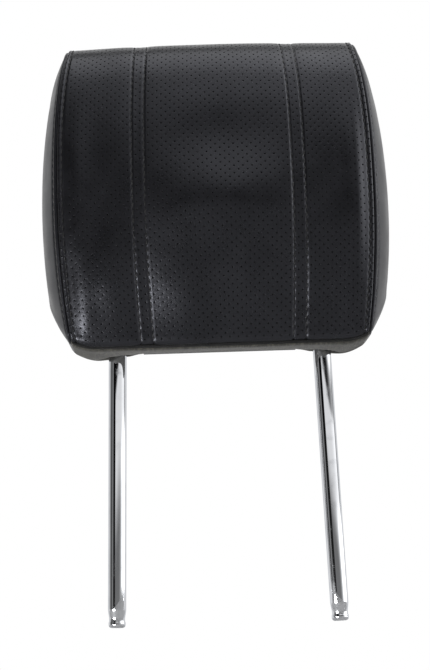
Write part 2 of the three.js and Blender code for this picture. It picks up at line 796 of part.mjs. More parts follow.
// Foam: fills the cover, with a pocket for the core that opens at the underside
function foamSolid() {
  const depth = coverThickness + foamGap;
  const ringOf = (place) => sideShares.map((share) => place(share));
  const sideRing = (part) =>
    ringOf((share) => {
      const inset = sideRingInset(share, part);
      return sidePoint(share, inset).addScaledVector(sideNormal(share, inset), -depth);
    });
  const seamRing = ringOf((share) => {
    const mitre = seamFrame(share);
    return edgePoint(share).addScaledVector(mitre.normal, -depth * mitre.stretch);
  });
  const stripRing = (column) =>
    ringOf((share) => {
      const x = softColumns(sectionFrame(share).point.y, [])[column];
      return stripPoint(share, x).addScaledVector(stripNormal(share, x), -depth);
    });
  const shrunkRing = (part) => ringOf((share) => sideCorePoint(share, part, depth));
  const right = [...sideRingParts.map(sideRing), ...sideShrink.map(shrunkRing)].reverse();
  right.push(seamRing);
  const left = right.map((ring) => ring.map((p) => new THREE.Vector3(-p.x, p.y, p.z))).reverse();
  const middle = softColumns(0, []).map((_, column) => stripRing(column)).reverse();
  const rings = [...right, ...middle, ...left];
  const count = sideShares.length;
  const points = rings.flat();
  const faces = [];
  for (let ring = 0; ring < rings.length - 1; ring += 1) {
    for (let step = 0; step < count; step += 1) {
      const next = (step + 1) % count;
      const [a, b] = [ring * count + step, ring * count + next];
      faces.push([a, b, b + count], [a, b + count, a + count]);
    }
  }
  const pole = sideMiddle.clone();
  pole.x = sideDome(pole.y, pole.z) - depth;
  const rightPole = points.length;
  points.push(pole, new THREE.Vector3(-pole.x, pole.y, pole.z));
  const lastRing = (rings.length - 1) * count;
  for (let step = 0; step < count; step += 1) {
    const next = (step + 1) % count;
    faces.push([rightPole, next, step], [rightPole + 1, lastRing + step, lastRing + next]);
  }
  return solidFromFaces(points, faces);
}

const pocket = boxSolid(
  [-coreHalfWidth - fitGap, -coreFrontDepth - fitGap, -coreBottom],
  [coreHalfWidth + fitGap, coreRearDepth + fitGap, coreTop + fitGap],
);
const foamPad = cut(foamSolid(), pocket);

// Assembly
const headrest = new THREE.Group();
headrest.name = 'car_headrest';

function addPiece(group, name, solid, material) {
  const mesh = new THREE.Mesh(geometryOf(solid), material);
  mesh.geometry.computeVertexNormals();
  mesh.name = name;
  group.add(mesh);
}

const cover = new THREE.Group();
cover.name = 'cover';
addPiece(cover, 'front_panel', frontPanel, materials.perforatedLeather);
addPiece(cover, 'rear_panel', rearPanel, materials.plainLeather);
addPiece(cover, 'left_side_panel', leftSidePanel, materials.plainLeather);
addPiece(cover, 'right_side_panel', rightSidePanel, materials.plainLeather);
addPiece(cover, 'base_front_flap', baseFrontFlap, materials.baseFabric);
addPiece(cover, 'base_rear_flap', baseRearFlap, materials.baseFabric);
addPiece(cover, 'closure_catch_strip', catchStrip, materials.closurePlastic);
addPiece(cover, 'closure_hook_strip', hookStrip, materials.closurePlastic);
headrest.add(cover);

const inside = new THREE.Group();
inside.name = 'inside';
addPiece(inside, 'foam_pad', foamPad, materials.foam);
addPiece(inside, 'core_front_shell', coreFrontShell, materials.corePlastic);
addPiece(inside, 'core_rear_shell', coreRearShell, materials.corePlastic);
screwPlaces.forEach(([x, z], index) => {
  addPiece(inside, `core_screw_${index + 1}`, screwSolid(x, z), materials.screwSteel);
});
addPiece(inside, 'post_frame', postFrame, materials.chrome);
headrest.add(inside);

export default headrest;
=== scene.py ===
"""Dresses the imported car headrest: perforated leather cover, fabric underside and chromed posts.

Lengths are millimetres in the numpy work and become metres where a mesh is made. The face looks
along -Y, +Z is up, and the origin lies between the posts at the underside of the head.
"""

from __future__ import annotations

import logging
import math
from collections.abc import Callable
from dataclasses import dataclass, field
from enum import Enum
from functools import partial

import bmesh
import bpy
import numpy as np
from mathutils import Matrix, Vector


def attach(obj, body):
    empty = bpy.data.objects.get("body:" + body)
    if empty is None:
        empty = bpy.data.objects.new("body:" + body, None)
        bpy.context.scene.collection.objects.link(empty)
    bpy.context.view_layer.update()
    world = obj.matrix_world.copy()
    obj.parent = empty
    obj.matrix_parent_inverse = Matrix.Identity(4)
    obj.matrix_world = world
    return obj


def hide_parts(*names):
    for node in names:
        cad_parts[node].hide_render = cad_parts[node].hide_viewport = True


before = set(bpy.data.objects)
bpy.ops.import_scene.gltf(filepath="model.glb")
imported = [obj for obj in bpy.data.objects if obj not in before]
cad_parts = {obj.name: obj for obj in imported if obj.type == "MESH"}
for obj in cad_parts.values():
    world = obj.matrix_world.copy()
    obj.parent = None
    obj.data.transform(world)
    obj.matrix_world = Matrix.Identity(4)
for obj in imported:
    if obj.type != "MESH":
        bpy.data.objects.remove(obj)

log = logging.getLogger("headrest")
MM = 0.001
TAU = 2.0 * math.pi
NO_HOLES = -999
BAND_HOLES = 1000
Array = np.ndarray
Shape = tuple[Array, list[Array]]
Surface = Callable[[Array, Array], Array]
Socket = bpy.types.NodeSocket
Pair = tuple[float, float]
Place = tuple[float, float, float]
Colour = tuple[float, float, float, float]
Numbers = tuple[float, ...]


# ---- Small helpers on arrays


def smooth(low: float, high: float, value: Array) -> Array:
    """Smooth step: 0 below low, 1 above high, and 3t^2 - 2t^3 between."""
    t = np.clip((value - low) / (high - low), 0.0, 1.0)
    return t * t * (3.0 - 2.0 * t)


def bell(distance: Array, width: float) -> Array:
    """Bell curve exp(-(distance / width)^2)."""
    return np.exp(-((distance / width) ** 2))


def unit(vectors: Array) -> Array:
    """Vectors divided by their lengths, along the last axis."""
    return vectors / np.maximum(np.linalg.norm(vectors, axis=-1, keepdims=True), 1e-12)


def bezier(a: tuple, b: tuple, c: tuple, d: tuple, count: int) -> Array:
    """Points of a cubic Bezier curve, (1-t)^3 a + 3(1-t)^2 t b + 3(1-t) t^2 c + t^3 d.

    Args:
        a: Start.
        b: First handle.
        c: Second handle.
        d: End.
        count: Number of points.

    Returns:
        The points, one row each.
    """
    t = np.linspace(0.0, 1.0, count)[:, None]
    a, b, c, d = (np.array(p, float) for p in (a, b, c, d))
    return (1 - t) ** 3 * a + 3 * (1 - t) ** 2 * t * b + 3 * (1 - t) * t**2 * c + t**3 * d


def arc(centre: tuple, radius: float, start: float, end: float, count: int) -> Array:
    """Points of a circular arc between two angles in degrees."""
    angle = np.radians(np.linspace(start, end, count))
    return np.stack([centre[0] + radius * np.cos(angle), centre[1] + radius * np.sin(angle)], -1)


def grid_faces(index: Array) -> Array:
    """Quads between neighbouring entries of a 2-D array of vertex numbers."""
    return np.stack([index[:-1, :-1], index[:-1, 1:], index[1:, 1:], index[1:, :-1]], -1).reshape(-1, 4)


def ripple(a: Array, b: Array, seed: float) -> Array:
    """Slow waviness between about -1 and 1: three sine waves that cross at odd angles.

    Args:
        a: First coordinate.
        b: Second coordinate.
        seed: Shift of the waves.

    Returns:
        The waviness at each place.
    """
    first = np.sin(a / 13.1 + b / 23.7 + seed)
    second = np.sin(a / 21.3 - b / 15.9 + 2.1 * seed)
    third = np.sin(a / 37.0 + b / 31.0 + 0.7 * seed)
    return (first + second + 1.4 * third) / 3.4


# ---- The head's outer form


@dataclass(frozen=True)
class HeadForm:
    """Outer form of the head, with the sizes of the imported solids, in millimetres."""

    height: float = 225.0
    face_reach: float = 56.0
    face_bulge: float = 85.0
    face_foot: float = 46.0
    back_reach: float = 51.0
    back_bulge: float = 105.0
    back_foot: float = 45.0
    back_foot_height: float = 6.0
    crest_setback: float = -6.0
    foot_radius: float = 9.0
    half_middle: float = 110.2
    foot_narrowing: float = 7.2
    top_narrowing: float = 7.9
    widest_height: float = 105.0
    side_reach: float = 123.3
    side_widest: float = 101.7
    side_roll: float = 40.0
    side_power: float = 2.25
    side_power_low: float = 1.45
    side_roll_low: float = 4.0
    side_low: Pair = (4.0, 50.0)
    spine_margin: float = 8.0
    side_curve_up: float = 0.001
    side_curve_across: float = 0.0016
    foot_power: float = 2.0
    top_power: float = 2.9
    face_crown: float = 6.0
    edge_crown: float = 0.65
    crown_power: float = 2.3
    corner_lift: float = 4.8
    corner_lift_width: float = 18.0
    lobe_drop: float = 1.2
    lobe_inset: float = 15.5
    lobe_width: float = 13.2
    base_arch: float = 5.4
    lift_reach: float = 40.0
    seam_height: float = 2.0
    back_seam_height: float = 196.0
    pair_offset: float = 51.8
    pair_spread: float = 0.46
    row_spacing: float = 51.8 / 6
    row_shift: float = 2.3
    line: dict = field(default_factory=dict, compare=False)

    def __post_init__(self) -> None:
        """Lays out the middle section as a dense line with its distance run and outward normal.

        The section runs from the middle of the underside forward, up the face, over the top and
        down the back: a line, a quarter circle, four Bezier curves, a quarter circle and a curve.
        The handles of the curves are shares of the reach or of the height that a curve covers.
        """
        h, fr, fb, ff = self.height, self.face_reach, self.face_bulge, self.face_foot
        br, bb, bf, bz = self.back_reach, self.back_bulge, self.back_foot, self.back_foot_height
        cs, r = self.crest_setback, self.foot_radius
        parts = [
            np.linspace([0.0, 0.0], [-ff + r, 0.0], 200),
            arc((-ff + r, r), r, -90, -180, 200),
            bezier((-ff, r), (-ff - 0.03 * fb, r + 0.33 * fb), (-fr, 0.55 * fb), (-fr, fb), 900),
            bezier((-fr, fb), (-fr, fb + 0.69 * (h - fb)), (cs - 0.64 * (fr + cs), h), (cs, h), 1500),
            bezier((cs, h), (cs + 0.6 * (br - cs), h), (br, bb + 0.64 * (h - bb)), (br, bb), 1500),
            bezier((br, bb), (br, 0.6 * bb), (bf, bz + r + 0.3 * bb), (bf, bz + r), 900),
            arc((bf - r, bz + r), r, 0, -90, 200),
            bezier((bf - r, bz), (0.6 * bf, bz), (0.3 * bf, 0.0), (0.0, 0.0), 500),
        ]
        points = np.concatenate([parts[0][:1]] + [part[1:] for part in parts])
        run = np.concatenate([[0.0], np.cumsum(np.linalg.norm(np.diff(points, axis=0), axis=1))])
        even = np.linspace(0.0, run[-1], 5000)
        place = np.stack([np.interp(even, run, points[:, k]) for k in (0, 1)], -1)
        tangent = unit(np.roll(place[:-1], -1, 0) - np.roll(place[:-1], 1, 0))
        tangent = np.concatenate([tangent, tangent[:1]])
        crest = run[np.argmax(points[:, 1])]
        ends = np.cumsum([len(part) - 1 for part in parts])
        self.line.update(run=even, place=place, normal=np.stack([-tangent[:, 1], tangent[:, 0]], -1))
        self.line.update(length=run[-1], crest=crest, foot=run[ends[0]], back=run[ends[5]])
        up = (even > self.line["foot"]) & (even < crest)
        down = (even > crest) & (even <= self.line["back"])
        last = (even >= self.line["back"]) & (even <= run[ends[6]])
        self.line["front_seam"] = float(np.interp(self.seam_height, place[up, 1], even[up]))
        self.line["top_seam"] = float(np.interp(-self.back_seam_height, -place[down, 1], even[down]))
        low = self.back_foot_height + self.seam_height
        self.line["rear_seam"] = float(np.interp(-low, -place[last, 1], even[last]))

    def section(self, s: Array) -> tuple[Array, ...]:
        """Place (y, z) and outward normal (y, z) of the middle section at distance s along it.

        Args:
            s: Distance along the section.

        Returns:
            y, z and the normal's y and z.
        """
        s = np.mod(s, self.line["length"])
        place, normal, run = self.line["place"], self.line["normal"], self.line["run"]
        y, z = (np.interp(s, run, place[:, k]) for k in (0, 1))
        ny, nz = (np.interp(s, run, normal[:, k]) for k in (0, 1))
        size = np.hypot(ny, nz)
        return y, z, ny / size, nz / size

    def half_width(self, z: Array) -> Array:
        """Half the width between the side seams: widest at one height, less above and below.

        Args:
            z: Height.

        Returns:
            Half the width at each height.
        """
        below = np.clip((self.widest_height - z) / self.widest_height, 0, 1)
        above = np.clip((z - self.widest_height) / (self.height - self.widest_height), 0, 1)
        low = self.foot_narrowing * below**self.foot_power
        return self.half_middle - low - self.top_narrowing * above**self.top_power

    def half_at(self, s: float) -> float:
        """Half the width between the side seams at one distance along the section."""
        return float(self.half_width(self.section(np.array([s]))[1])[0])

    def strip(self, s: Array, x: Array) -> Array:
        """Point of the strip of panels between the side seams.

        The middle section is moved inward by a crown that grows with |x| / half width to the
        crown's power. The underside is lifted at its corners and, in an arch, between the posts,
        and lowered in a lobe outside each post.

        Args:
            s: Distance along the section.
            x: Place from side to side.

        Returns:
            Points in millimetres.
        """
        y, z, ny, nz = self.section(s)
        half = self.half_width(z)
        out = np.abs(x) / half
        crown = (self.edge_crown + self.face_crown * smooth(0, 60, z) * np.abs(ny)) * out**self.crown_power
        width = self.corner_lift_width
        corner = np.clip((np.abs(x) - half + width) / width, 0, 1)
        lobe = bell(np.abs(x) - half + self.lobe_inset, self.lobe_width)
        lobe = lobe * smooth(-self.face_foot, -0.3 * self.face_foot, y)
        arch = smooth(-self.face_foot, self.back_foot, y) * (1 - smooth(0.5, 0.78, out))
        lift = self.corner_lift * corner**2 - self.lobe_drop * lobe + self.base_arch * arch
        lift = lift * (1 - smooth(0, self.lift_reach, z))
        return np.stack([x + 0 * y, y - ny * crown, z - nz * crown + lift], -1)

    def strip_normal(self, s: Array, x: Array) -> Array:
        """Outward normal of the strip, from the cross product of its two directions.

        Args:
            s: Distance along the section.
            x: Place from side to side.

        Returns:
            Unit vectors.
        """
        along = self.strip(s + 0.8, x) - self.strip(s - 0.8, x)
        across = self.strip(s, x + 0.5) - self.strip(s, x - 0.5)
        return unit(np.cross(across, along))

    def edge(self, s: Array) -> Array:
        """Point of the right side seam at distance s along the section."""
        return self.strip(s, self.half_width(self.section(s)[1]))

    def dome(self, y: Array, z: Array) -> Array:
        """Reach of the side's shallow dome at (y, z)."""
        upright = self.side_curve_up * (z - self.side_widest) ** 2
        return self.side_reach - upright - self.side_curve_across * y**2

    def spine(self, edge: Array) -> Array:
        """Point of the upright line in the middle of the side that an edge point looks at.

        Args:
            edge: Points of the side seam.

        Returns:
            Points in millimetres.
        """
        low = self.side_roll + self.spine_margin
        high = self.height - self.side_roll - self.spine_margin
        return np.stack([edge[..., 0], 0 * edge[..., 1], np.clip(edge[..., 2], low, high)], -1)

    def side(self, s: Array, inset: Array) -> Array:
        """Point of the right side at a distance inward from the seam.

        The side is the dome less a roll-off, depth * (1 - inset / width)^power, that brings it
        down to the seam. The roll-off is faded out at the spine, so that all lines meet there.

        Args:
            s: Distance along the section.
            inset: Distance inward from the seam.

        Returns:
            Points in millimetres.
        """
        edge = self.edge(s)
        spine = self.spine(edge)
        reach = np.linalg.norm(spine - edge, axis=-1)
        place = edge + (spine - edge) * (inset / reach)[..., None]
        low = 1 - smooth(*self.side_low, edge[..., 2])
        width = self.side_roll + self.side_roll_low * low
        power = self.side_power + (self.side_power_low - self.side_power) * low
        depth = self.dome(edge[..., 1], edge[..., 2]) - edge[..., 0]
        roll = depth * np.clip(1 - inset / width, 0, 1) ** power
        roll = roll * (1 - smooth(0.6, 1.0, inset / reach))
        place[..., 0] = self.dome(place[..., 1], place[..., 2]) - roll
        return place

    def side_normal(self, s: Array, inset: Array) -> Array:
        """Outward normal of the right side.

        Args:
            s: Distance along the section.
            inset: Distance inward from the seam.

        Returns:
            Unit vectors.
        """
        along = self.side(s + 0.8, inset) - self.side(s - 0.8, inset)
        across = self.side(s, inset + 0.5) - self.side(s, np.maximum(inset - 0.5, 0))
        return unit(np.cross(across, along))

    def seam_normal(self, s: Array) -> Array:
        """Direction midway between the normals of strip and side at the right seam.

        Args:
            s: Distance along the section.

        Returns:
            Unit vectors.
        """
        edge = self.edge(s)
        inset = np.ones_like(s)
        return unit(self.strip_normal(s, edge[..., 0] - 1.0) + self.side_normal(s, inset))

    def spread(self, z: Array) -> Array:
        """How far the stitch pairs stand further apart at a height than at the top."""
        return self.pair_spread * (self.half_width(z) - self.half_middle + self.top_narrowing)

    def stitch_x(self, s: Array, side: int, row: int) -> Array:
        """x of a decorative stitch row: side is -1 or 1, row is -1 or 1 within its pair."""
        spread = self.spread(self.section(s)[1])
        return self.row_shift + side * (self.pair_offset + spread) + row * self.row_spacing / 2


# ---- Meshes


def lift_object(name: str, points: Array, faces: list[Array]) -> bpy.types.Object:
    """Makes a smooth-shaded object from arrays, keeping only the vertices that faces use.

    Args:
        name: Name of the object and its mesh.
        points: Vertex places in millimetres, one row each.
        faces: Arrays of vertex numbers, one array for each number of corners.

    Returns:
        The new object, linked to the scene, at the origin.
    """
    flat = np.concatenate([f.ravel() for f in faces])
    used, compact = np.unique(flat, return_inverse=True)
    counts = np.concatenate([np.full(len(f), f.shape[1]) for f in faces])
    starts = np.concatenate([[0], np.cumsum(counts)[:-1]])
    mesh = bpy.data.meshes.new(name)
    mesh.vertices.add(len(used))
    mesh.vertices.foreach_set("co", (points[used] * MM).astype(np.float32).ravel())
    mesh.loops.add(len(compact))
    mesh.loops.foreach_set("vertex_index", compact.astype(np.int32).ravel())
    mesh.polygons.add(len(counts))
    mesh.polygons.foreach_set("loop_start", starts.astype(np.int32))
    mesh.polygons.foreach_set("use_smooth", np.ones(len(counts), dtype=bool))
    mesh.update(calc_edges=True)
    mesh.validate()
    obj = bpy.data.objects.new(name, mesh)
    bpy.context.scene.collection.objects.link(obj)
    return obj


def tube(path: Array, radius: Array, side: Array, sides: int) -> Shape:
    """A tube along a path in a plane: centre + r (cos a * side + sin a * normal), with flat ends.

    Args:
        path: Centre points, n by 3.
        radius: Radius at each point.
        side: Unit vector square to the plane of the path.
        sides: Number of points round it.

    Returns:
        Vertex places and face arrays.
    """
    normal = unit(np.cross(unit(np.gradient(path, axis=0)), side))
    angle = np.arange(sides) * TAU / sides
    ring = np.cos(angle)[None, :, None] * side + np.sin(angle)[None, :, None] * normal[:, None, :]
    points = (path[:, None, :] + radius[:, None, None] * ring).reshape(-1, 3)
    index = np.arange(len(path) * sides).reshape(len(path), sides)
    index = np.concatenate([index, index[:, :1]], 1)
    caps = np.stack([index[0, :-1][::-1], index[-1, :-1]])
    return points, [grid_faces(index.T), caps]


def joined(parts: list[Shape]) -> Shape:
    """Several sets of vertices and face arrays as one set.

    Args:
        parts: Vertex places and face arrays of each set.

    Returns:
        Vertex places and face arrays of all.
    """
    points, by_corners, start = [], {}, 0
    for part_points, part_faces in parts:
        for faces in part_faces:
            by_corners.setdefault(faces.shape[1], []).append(faces + start)
        points.append(part_points)
        start += len(part_points)
    return np.concatenate(points), [np.concatenate(faces) for faces in by_corners.values()]


def merge_points(obj: bpy.types.Object, distance: float) -> None:
    """Merges the vertices of a mesh that lie closer together than a distance in millimetres.

    Args:
        obj: Object whose mesh is changed.
        distance: Greatest distance that is merged.
    """
    mesh = bmesh.new()
    mesh.from_mesh(obj.data)
    bmesh.ops.remove_doubles(mesh, verts=mesh.verts, dist=distance * MM)
    mesh.to_mesh(obj.data)
    mesh.free()
    obj.data.update()


# ---- Shader node groups and finishes


class Nodes:
    """Builds nodes in a node tree with little writing."""

    def __init__(self, tree: bpy.types.NodeTree) -> None:
        """Keeps the tree that nodes are added to."""
        self.tree = tree

    def add(self, kind: str, inputs: dict | None = None, **settings: object) -> bpy.types.Node:
        """Adds a node.

        Args:
            kind: Type name of the node.
            inputs: Values or sockets by input name or number.
            settings: Properties of the node.

        Returns:
            The node.
        """
        node = self.tree.nodes.new(kind)
        for key, value in settings.items():
            setattr(node, key, value)
        for key, value in (inputs or {}).items():
            if isinstance(value, bpy.types.NodeSocket):
                self.tree.links.new(value, node.inputs[key])
            else:
                node.inputs[key].default_value = value
        return node

    def link(self, source: Socket, target: Socket) -> None:
        """Links two sockets."""
        self.tree.links.new(source, target)

    def math(self, operation: str, *values: object) -> Socket:
        """A Math node's result."""
        return self.add("ShaderNodeMath", dict(enumerate(values)), operation=operation).outputs[0]

    def ramp(self, value: Socket, low: float, high: float, start: float = 0.0, end: float = 1.0) -> Socket:
        """A smooth Map Range node's result: start below low, end above high."""
        inputs = {"Value": value, "From Min": low, "From Max": high, "To Min": start, "To Max": end}
        return self.add("ShaderNodeMapRange", inputs, interpolation_type="SMOOTHSTEP").outputs[0]

    def mix(self, share: object, a: object, b: object) -> Socket:
        """A colour Mix node's result."""
        return self.add("ShaderNodeMix", {0: share, 6: a, 7: b}, data_type="RGBA").outputs[2]

    def facing(self, toward: Socket, direction: tuple) -> Socket:
        """Cosine between a direction socket and a direction, not below 0."""
        dot = self.add("ShaderNodeVectorMath", {0: toward, 1: direction}, operation="DOT_PRODUCT")
        return self.math("MAXIMUM", dot.outputs["Value"], 0.0)

    def place(self) -> Socket:
        """The place on the object, in the object's own coordinates."""
        return self.add("ShaderNodeTexCoord").outputs["Object"]

    def noise(self, where: Socket, scale: object, detail: float, distortion: float = 0.0) -> Socket:
        """A Noise Texture node's value."""
        inputs = {"Vector": where, "Scale": scale, "Detail": detail, "Distortion": distortion}
        return self.add("ShaderNodeTexNoise", inputs).outputs[0]


class Effect(Enum):
    """The shared effects, by the name of their node group."""

    GRAIN = "leather_grain"
    FIBRES = "felted_fibres"
    POLISH = "handled_polish"


def new_group(
    effect: Effect, inputs: dict[str, float], outputs: tuple[str, ...]
) -> tuple[Nodes, dict, dict]:
    """Starts a shader node group.

    Args:
        effect: Effect that the group is made for.
        inputs: Float inputs and their values.
        outputs: Names of the float outputs.

    Returns:
        The group's node builder, its input sockets and its output sockets by name.
    """
    tree = bpy.data.node_groups.new(effect.value, "ShaderNodeTree")
    for key in (*inputs, *outputs):
        way = "INPUT" if key in inputs else "OUTPUT"
        socket = tree.interface.new_socket(name=key, in_out=way, socket_type="NodeSocketFloat")
        if key in inputs:
            socket.default_value = inputs[key]
    nodes = Nodes(tree)
    entry, leave = nodes.add("NodeGroupInput"), nodes.add("NodeGroupOutput")
    return nodes, {s.name: s for s in entry.outputs if s.name}, {s.name: s for s in leave.inputs if s.name}


def grain_group() -> None:
    """Leather grain: small rounded pebbles with fine creases between them, over slow unevenness.

    Height is pebble + crease + broad noise, Tone a mask of slightly lighter places, and Gloss a
    value that wanders slowly for roughness.
    """
    values = {"Pebbles": 900.0, "Creases": 0.5}
    n, given, out = new_group(Effect.GRAIN, values, ("Height", "Tone", "Gloss"))
    where = n.place()
    bend = n.add("ShaderNodeTexNoise", {"Vector": where, "Scale": 160.0, "Detail": 2.0}).outputs["Color"]
    warped = n.add("ShaderNodeMixRGB", {0: 0.006, 1: where, 2: bend}, blend_type="ADD").outputs[0]
    cells = {"Vector": warped, "Scale": given["Pebbles"]}
    pebble = n.ramp(n.add("ShaderNodeTexVoronoi", cells, feature="DISTANCE_TO_EDGE").outputs[0], 0.0, 0.28)
    fine, broad, slow = n.noise(where, 2600.0, 2.0), n.noise(where, 34.0, 3.0), n.noise(where, 55.0, 4.0)
    height = n.math("ADD", n.math("MULTIPLY", pebble, given["Creases"]), n.math("MULTIPLY", fine, 0.25))
    n.link(n.math("ADD", height, n.math("MULTIPLY", broad, 0.6)), out["Height"])
    n.link(n.ramp(broad, 0.35, 0.7), out["Tone"])
    n.link(n.math("ADD", n.math("MULTIPLY", slow, 0.7), n.math("MULTIPLY", fine, 0.3)), out["Gloss"])


def fibre_group() -> None:
    """Felted fibres: two noises stretched along crossed directions, and a slow mottling."""
    n, given, out = new_group(Effect.FIBRES, {"Fineness": 900.0}, ("Height", "Tone"))
    where = n.place()
    layers = []
    for angle in (0.4, 2.1):
        stretched = {"Vector": where, "Rotation": (0.0, 0.0, angle), "Scale": (1.0, 0.22, 0.6)}
        turned = n.add("ShaderNodeMapping", stretched).outputs[0]
        layers.append(n.noise(turned, given["Fineness"], 4.0, 0.6))
    fibres = n.math("MAXIMUM", *layers)
    mottling = n.math("MULTIPLY", n.noise(where, 120.0, 3.0), 0.3)
    n.link(fibres, out["Height"])
    n.link(n.math("ADD", n.math("MULTIPLY", n.ramp(fibres, 0.46, 0.66), 0.75), mottling), out["Tone"])


def polish_group() -> None:
    """Handled metal: faint smears and fine rubbing marks. Smear is a mask, Height a tiny relief."""
    n, given, out = new_group(Effect.POLISH, {"Smear Size": 60.0}, ("Smear", "Height"))
    where = n.place()
    drawn = n.add("ShaderNodeMapping", {"Vector": where, "Scale": (1.0, 1.0, 0.05)}).outputs[0]
    n.link(n.ramp(n.noise(where, given["Smear Size"], 5.0, 1.2), 0.45, 0.75), out["Smear"])
    n.link(n.noise(drawn, 900.0, 2.0), out["Height"])


def coat(n: Nodes, shader: bpy.types.Node, colour: Socket, rough: Socket, bump: tuple) -> None:
    """Gives a shader its colour, its roughness and a bump: height socket, strength, metres.

    Args:
        n: The material's node builder.
        shader: Its Principled BSDF.
        colour: Colour socket.
        rough: Roughness socket.
        bump: Height socket, strength and relief in metres.
    """
    height, strength, relief = bump
    n.link(colour, shader.inputs["Base Color"])
    n.link(rough, shader.inputs["Roughness"])
    node = n.add("ShaderNodeBump", {"Height": height, "Strength": strength, "Distance": relief})
    n.link(node.outputs[0], shader.inputs["Normal"])


def start_material(name: str) -> tuple[bpy.types.Material, Nodes, bpy.types.Node]:
    """A new node material with its Principled BSDF.

    Args:
        name: Name of the material.

    Returns:
        The material, its node builder and the shader.
    """
    material = bpy.data.materials.new(name)
    material.use_nodes = True
    nodes = Nodes(material.node_tree)
    shader = next(x for x in material.node_tree.nodes if x.type == "BSDF_PRINCIPLED")
    return material, nodes, shader


def place_group(nodes: Nodes, effect: Effect, **values: float) -> bpy.types.Node:
    """Puts a shared effect in a material with its own values.

    Args:
        nodes: The material's node builder.
        effect: The effect.
        values: Values of its inputs by name.

    Returns:
        The group node.
    """
    node = nodes.add("ShaderNodeGroup")
    node.node_tree = bpy.data.node_groups[effect.value]
    for key, value in values.items():
        node.inputs[key.replace("_", " ")].default_value = value
    return node


@dataclass(frozen=True)
class LeatherFinish:
    """Coated black leather: near-black colour, semi-gloss, fine grain."""

    name: str
    dark: Colour = (0.004, 0.004, 0.0047, 1.0)
    light: Colour = (0.0075, 0.0075, 0.0087, 1.0)
    smoothest: float = 0.26
    roughest: float = 0.37
    pebbles: float = 900.0
    relief: float = 0.00004
    mirror: float = 0.5
    mirror_tint: Colour = (0.87, 0.89, 1.0, 1.0)

    def build(self) -> bpy.types.Material:
        """The material, with grain in colour, roughness and bump.

        Returns:
            The new material.
        """
        material, n, shader = start_material(self.name)
        grain = place_group(n, Effect.GRAIN, Pebbles=self.pebbles).outputs
        rough = n.ramp(grain["Gloss"], 0.3, 0.7, self.smoothest, self.roughest)
        colour = n.mix(grain["Tone"], self.dark, self.light)
        coat(n, shader, colour, rough, (grain["Height"], 0.6, self.relief))
        shader.inputs["Specular IOR Level"].default_value = self.mirror
        shader.inputs["Specular Tint"].default_value = self.mirror_tint
        return material


@dataclass(frozen=True)
class FabricFinish:
    """Felted backing fabric: matt, fibrous, slightly fuzzy."""

    name: str
    dark: Colour = (0.014, 0.0135, 0.0115, 1.0)
    light: Colour = (0.088, 0.084, 0.07, 1.0)
    fineness: float = 480.0
    relief: float = 0.0006
    fuzz: float = 0.12

    def build(self) -> bpy.types.Material:
        """The material, with fibres in colour, roughness and bump.

        Returns:
            The new material.
        """
        material, n, shader = start_material(self.name)
        fibres = place_group(n, Effect.FIBRES, Fineness=self.fineness).outputs
        rough = n.ramp(fibres["Tone"], 0.2, 0.8, 0.82, 0.98)
        colour = n.mix(fibres["Tone"], self.dark, self.light)
        coat(n, shader, colour, rough, (fibres["Height"], 0.9, self.relief))
        shader.inputs["Sheen Weight"].default_value = self.fuzz
        shader.inputs["Sheen Roughness"].default_value = 0.5
        return material


@dataclass(frozen=True)
class MetalFinish:
    """Polished or plated metal with faint smears."""

    name: str
    clean: Colour = (0.66, 0.67, 0.69, 1.0)
    smeared: Colour = (0.58, 0.59, 0.61, 1.0)
    smoothest: float = 0.03
    roughest: float = 0.08
    relief: float = 0.0000015
    edge_tint: Colour = (0.72, 0.73, 0.76, 1.0)

    def build(self) -> bpy.types.Material:
        """The material, with smears in colour and roughness and fine marks in bump.

        Returns:
            The new material.
        """
        material, n, shader = start_material(self.name)
        polish = place_group(n, Effect.POLISH).outputs
        shader.inputs["Metallic"].default_value = 1.0
        shader.inputs["Specular Tint"].default_value = self.edge_tint
        rough = n.ramp(polish["Smear"], 0.0, 1.0, self.smoothest, self.roughest)
        colour = n.mix(polish["Smear"], self.clean, self.smeared)
        coat(n, shader, colour, rough, (polish["Height"], 0.5, self.relief))
        return material


@dataclass(frozen=True)
class MouldedFinish:
    """Moulded or extruded plastic, thread or foam: one colour that wanders a little."""

    name: str
    dark: Colour = (0.012, 0.012, 0.013, 1.0)
    light: Colour = (0.02, 0.02, 0.021, 1.0)
    smoothest: float = 0.4
    roughest: float = 0.6
    fineness: float = 700.0
    relief: float = 0.00006

    def build(self) -> bpy.types.Material:
        """The material, with a fine moulded texture in colour, roughness and bump.

        Returns:
            The new material.
        """
        material, n, shader = start_material(self.name)
        where = n.place()
        slow, fine = n.noise(where, self.fineness / 10, 3.0), n.noise(where, self.fineness, 2.0)
        rough = n.ramp(fine, 0.35, 0.65, self.smoothest, self.roughest)
        colour = n.mix(n.ramp(slow, 0.35, 0.65), self.dark, self.light)
        coat(n, shader, colour, rough, (fine, 0.5, self.relief))
        return material


def take_place(obj: bpy.types.Object, slot: str, *nodes: str) -> None:
    """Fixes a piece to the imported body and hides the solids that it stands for.

    Args:
        obj: The piece.
        slot: Slot of its finish in the record; not used.
        nodes: Solids that it stands for.
    """
    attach(obj, "root")
    if nodes:
        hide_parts(*nodes)
    log.info("%s: %d faces", obj.name, len(obj.data.polygons))


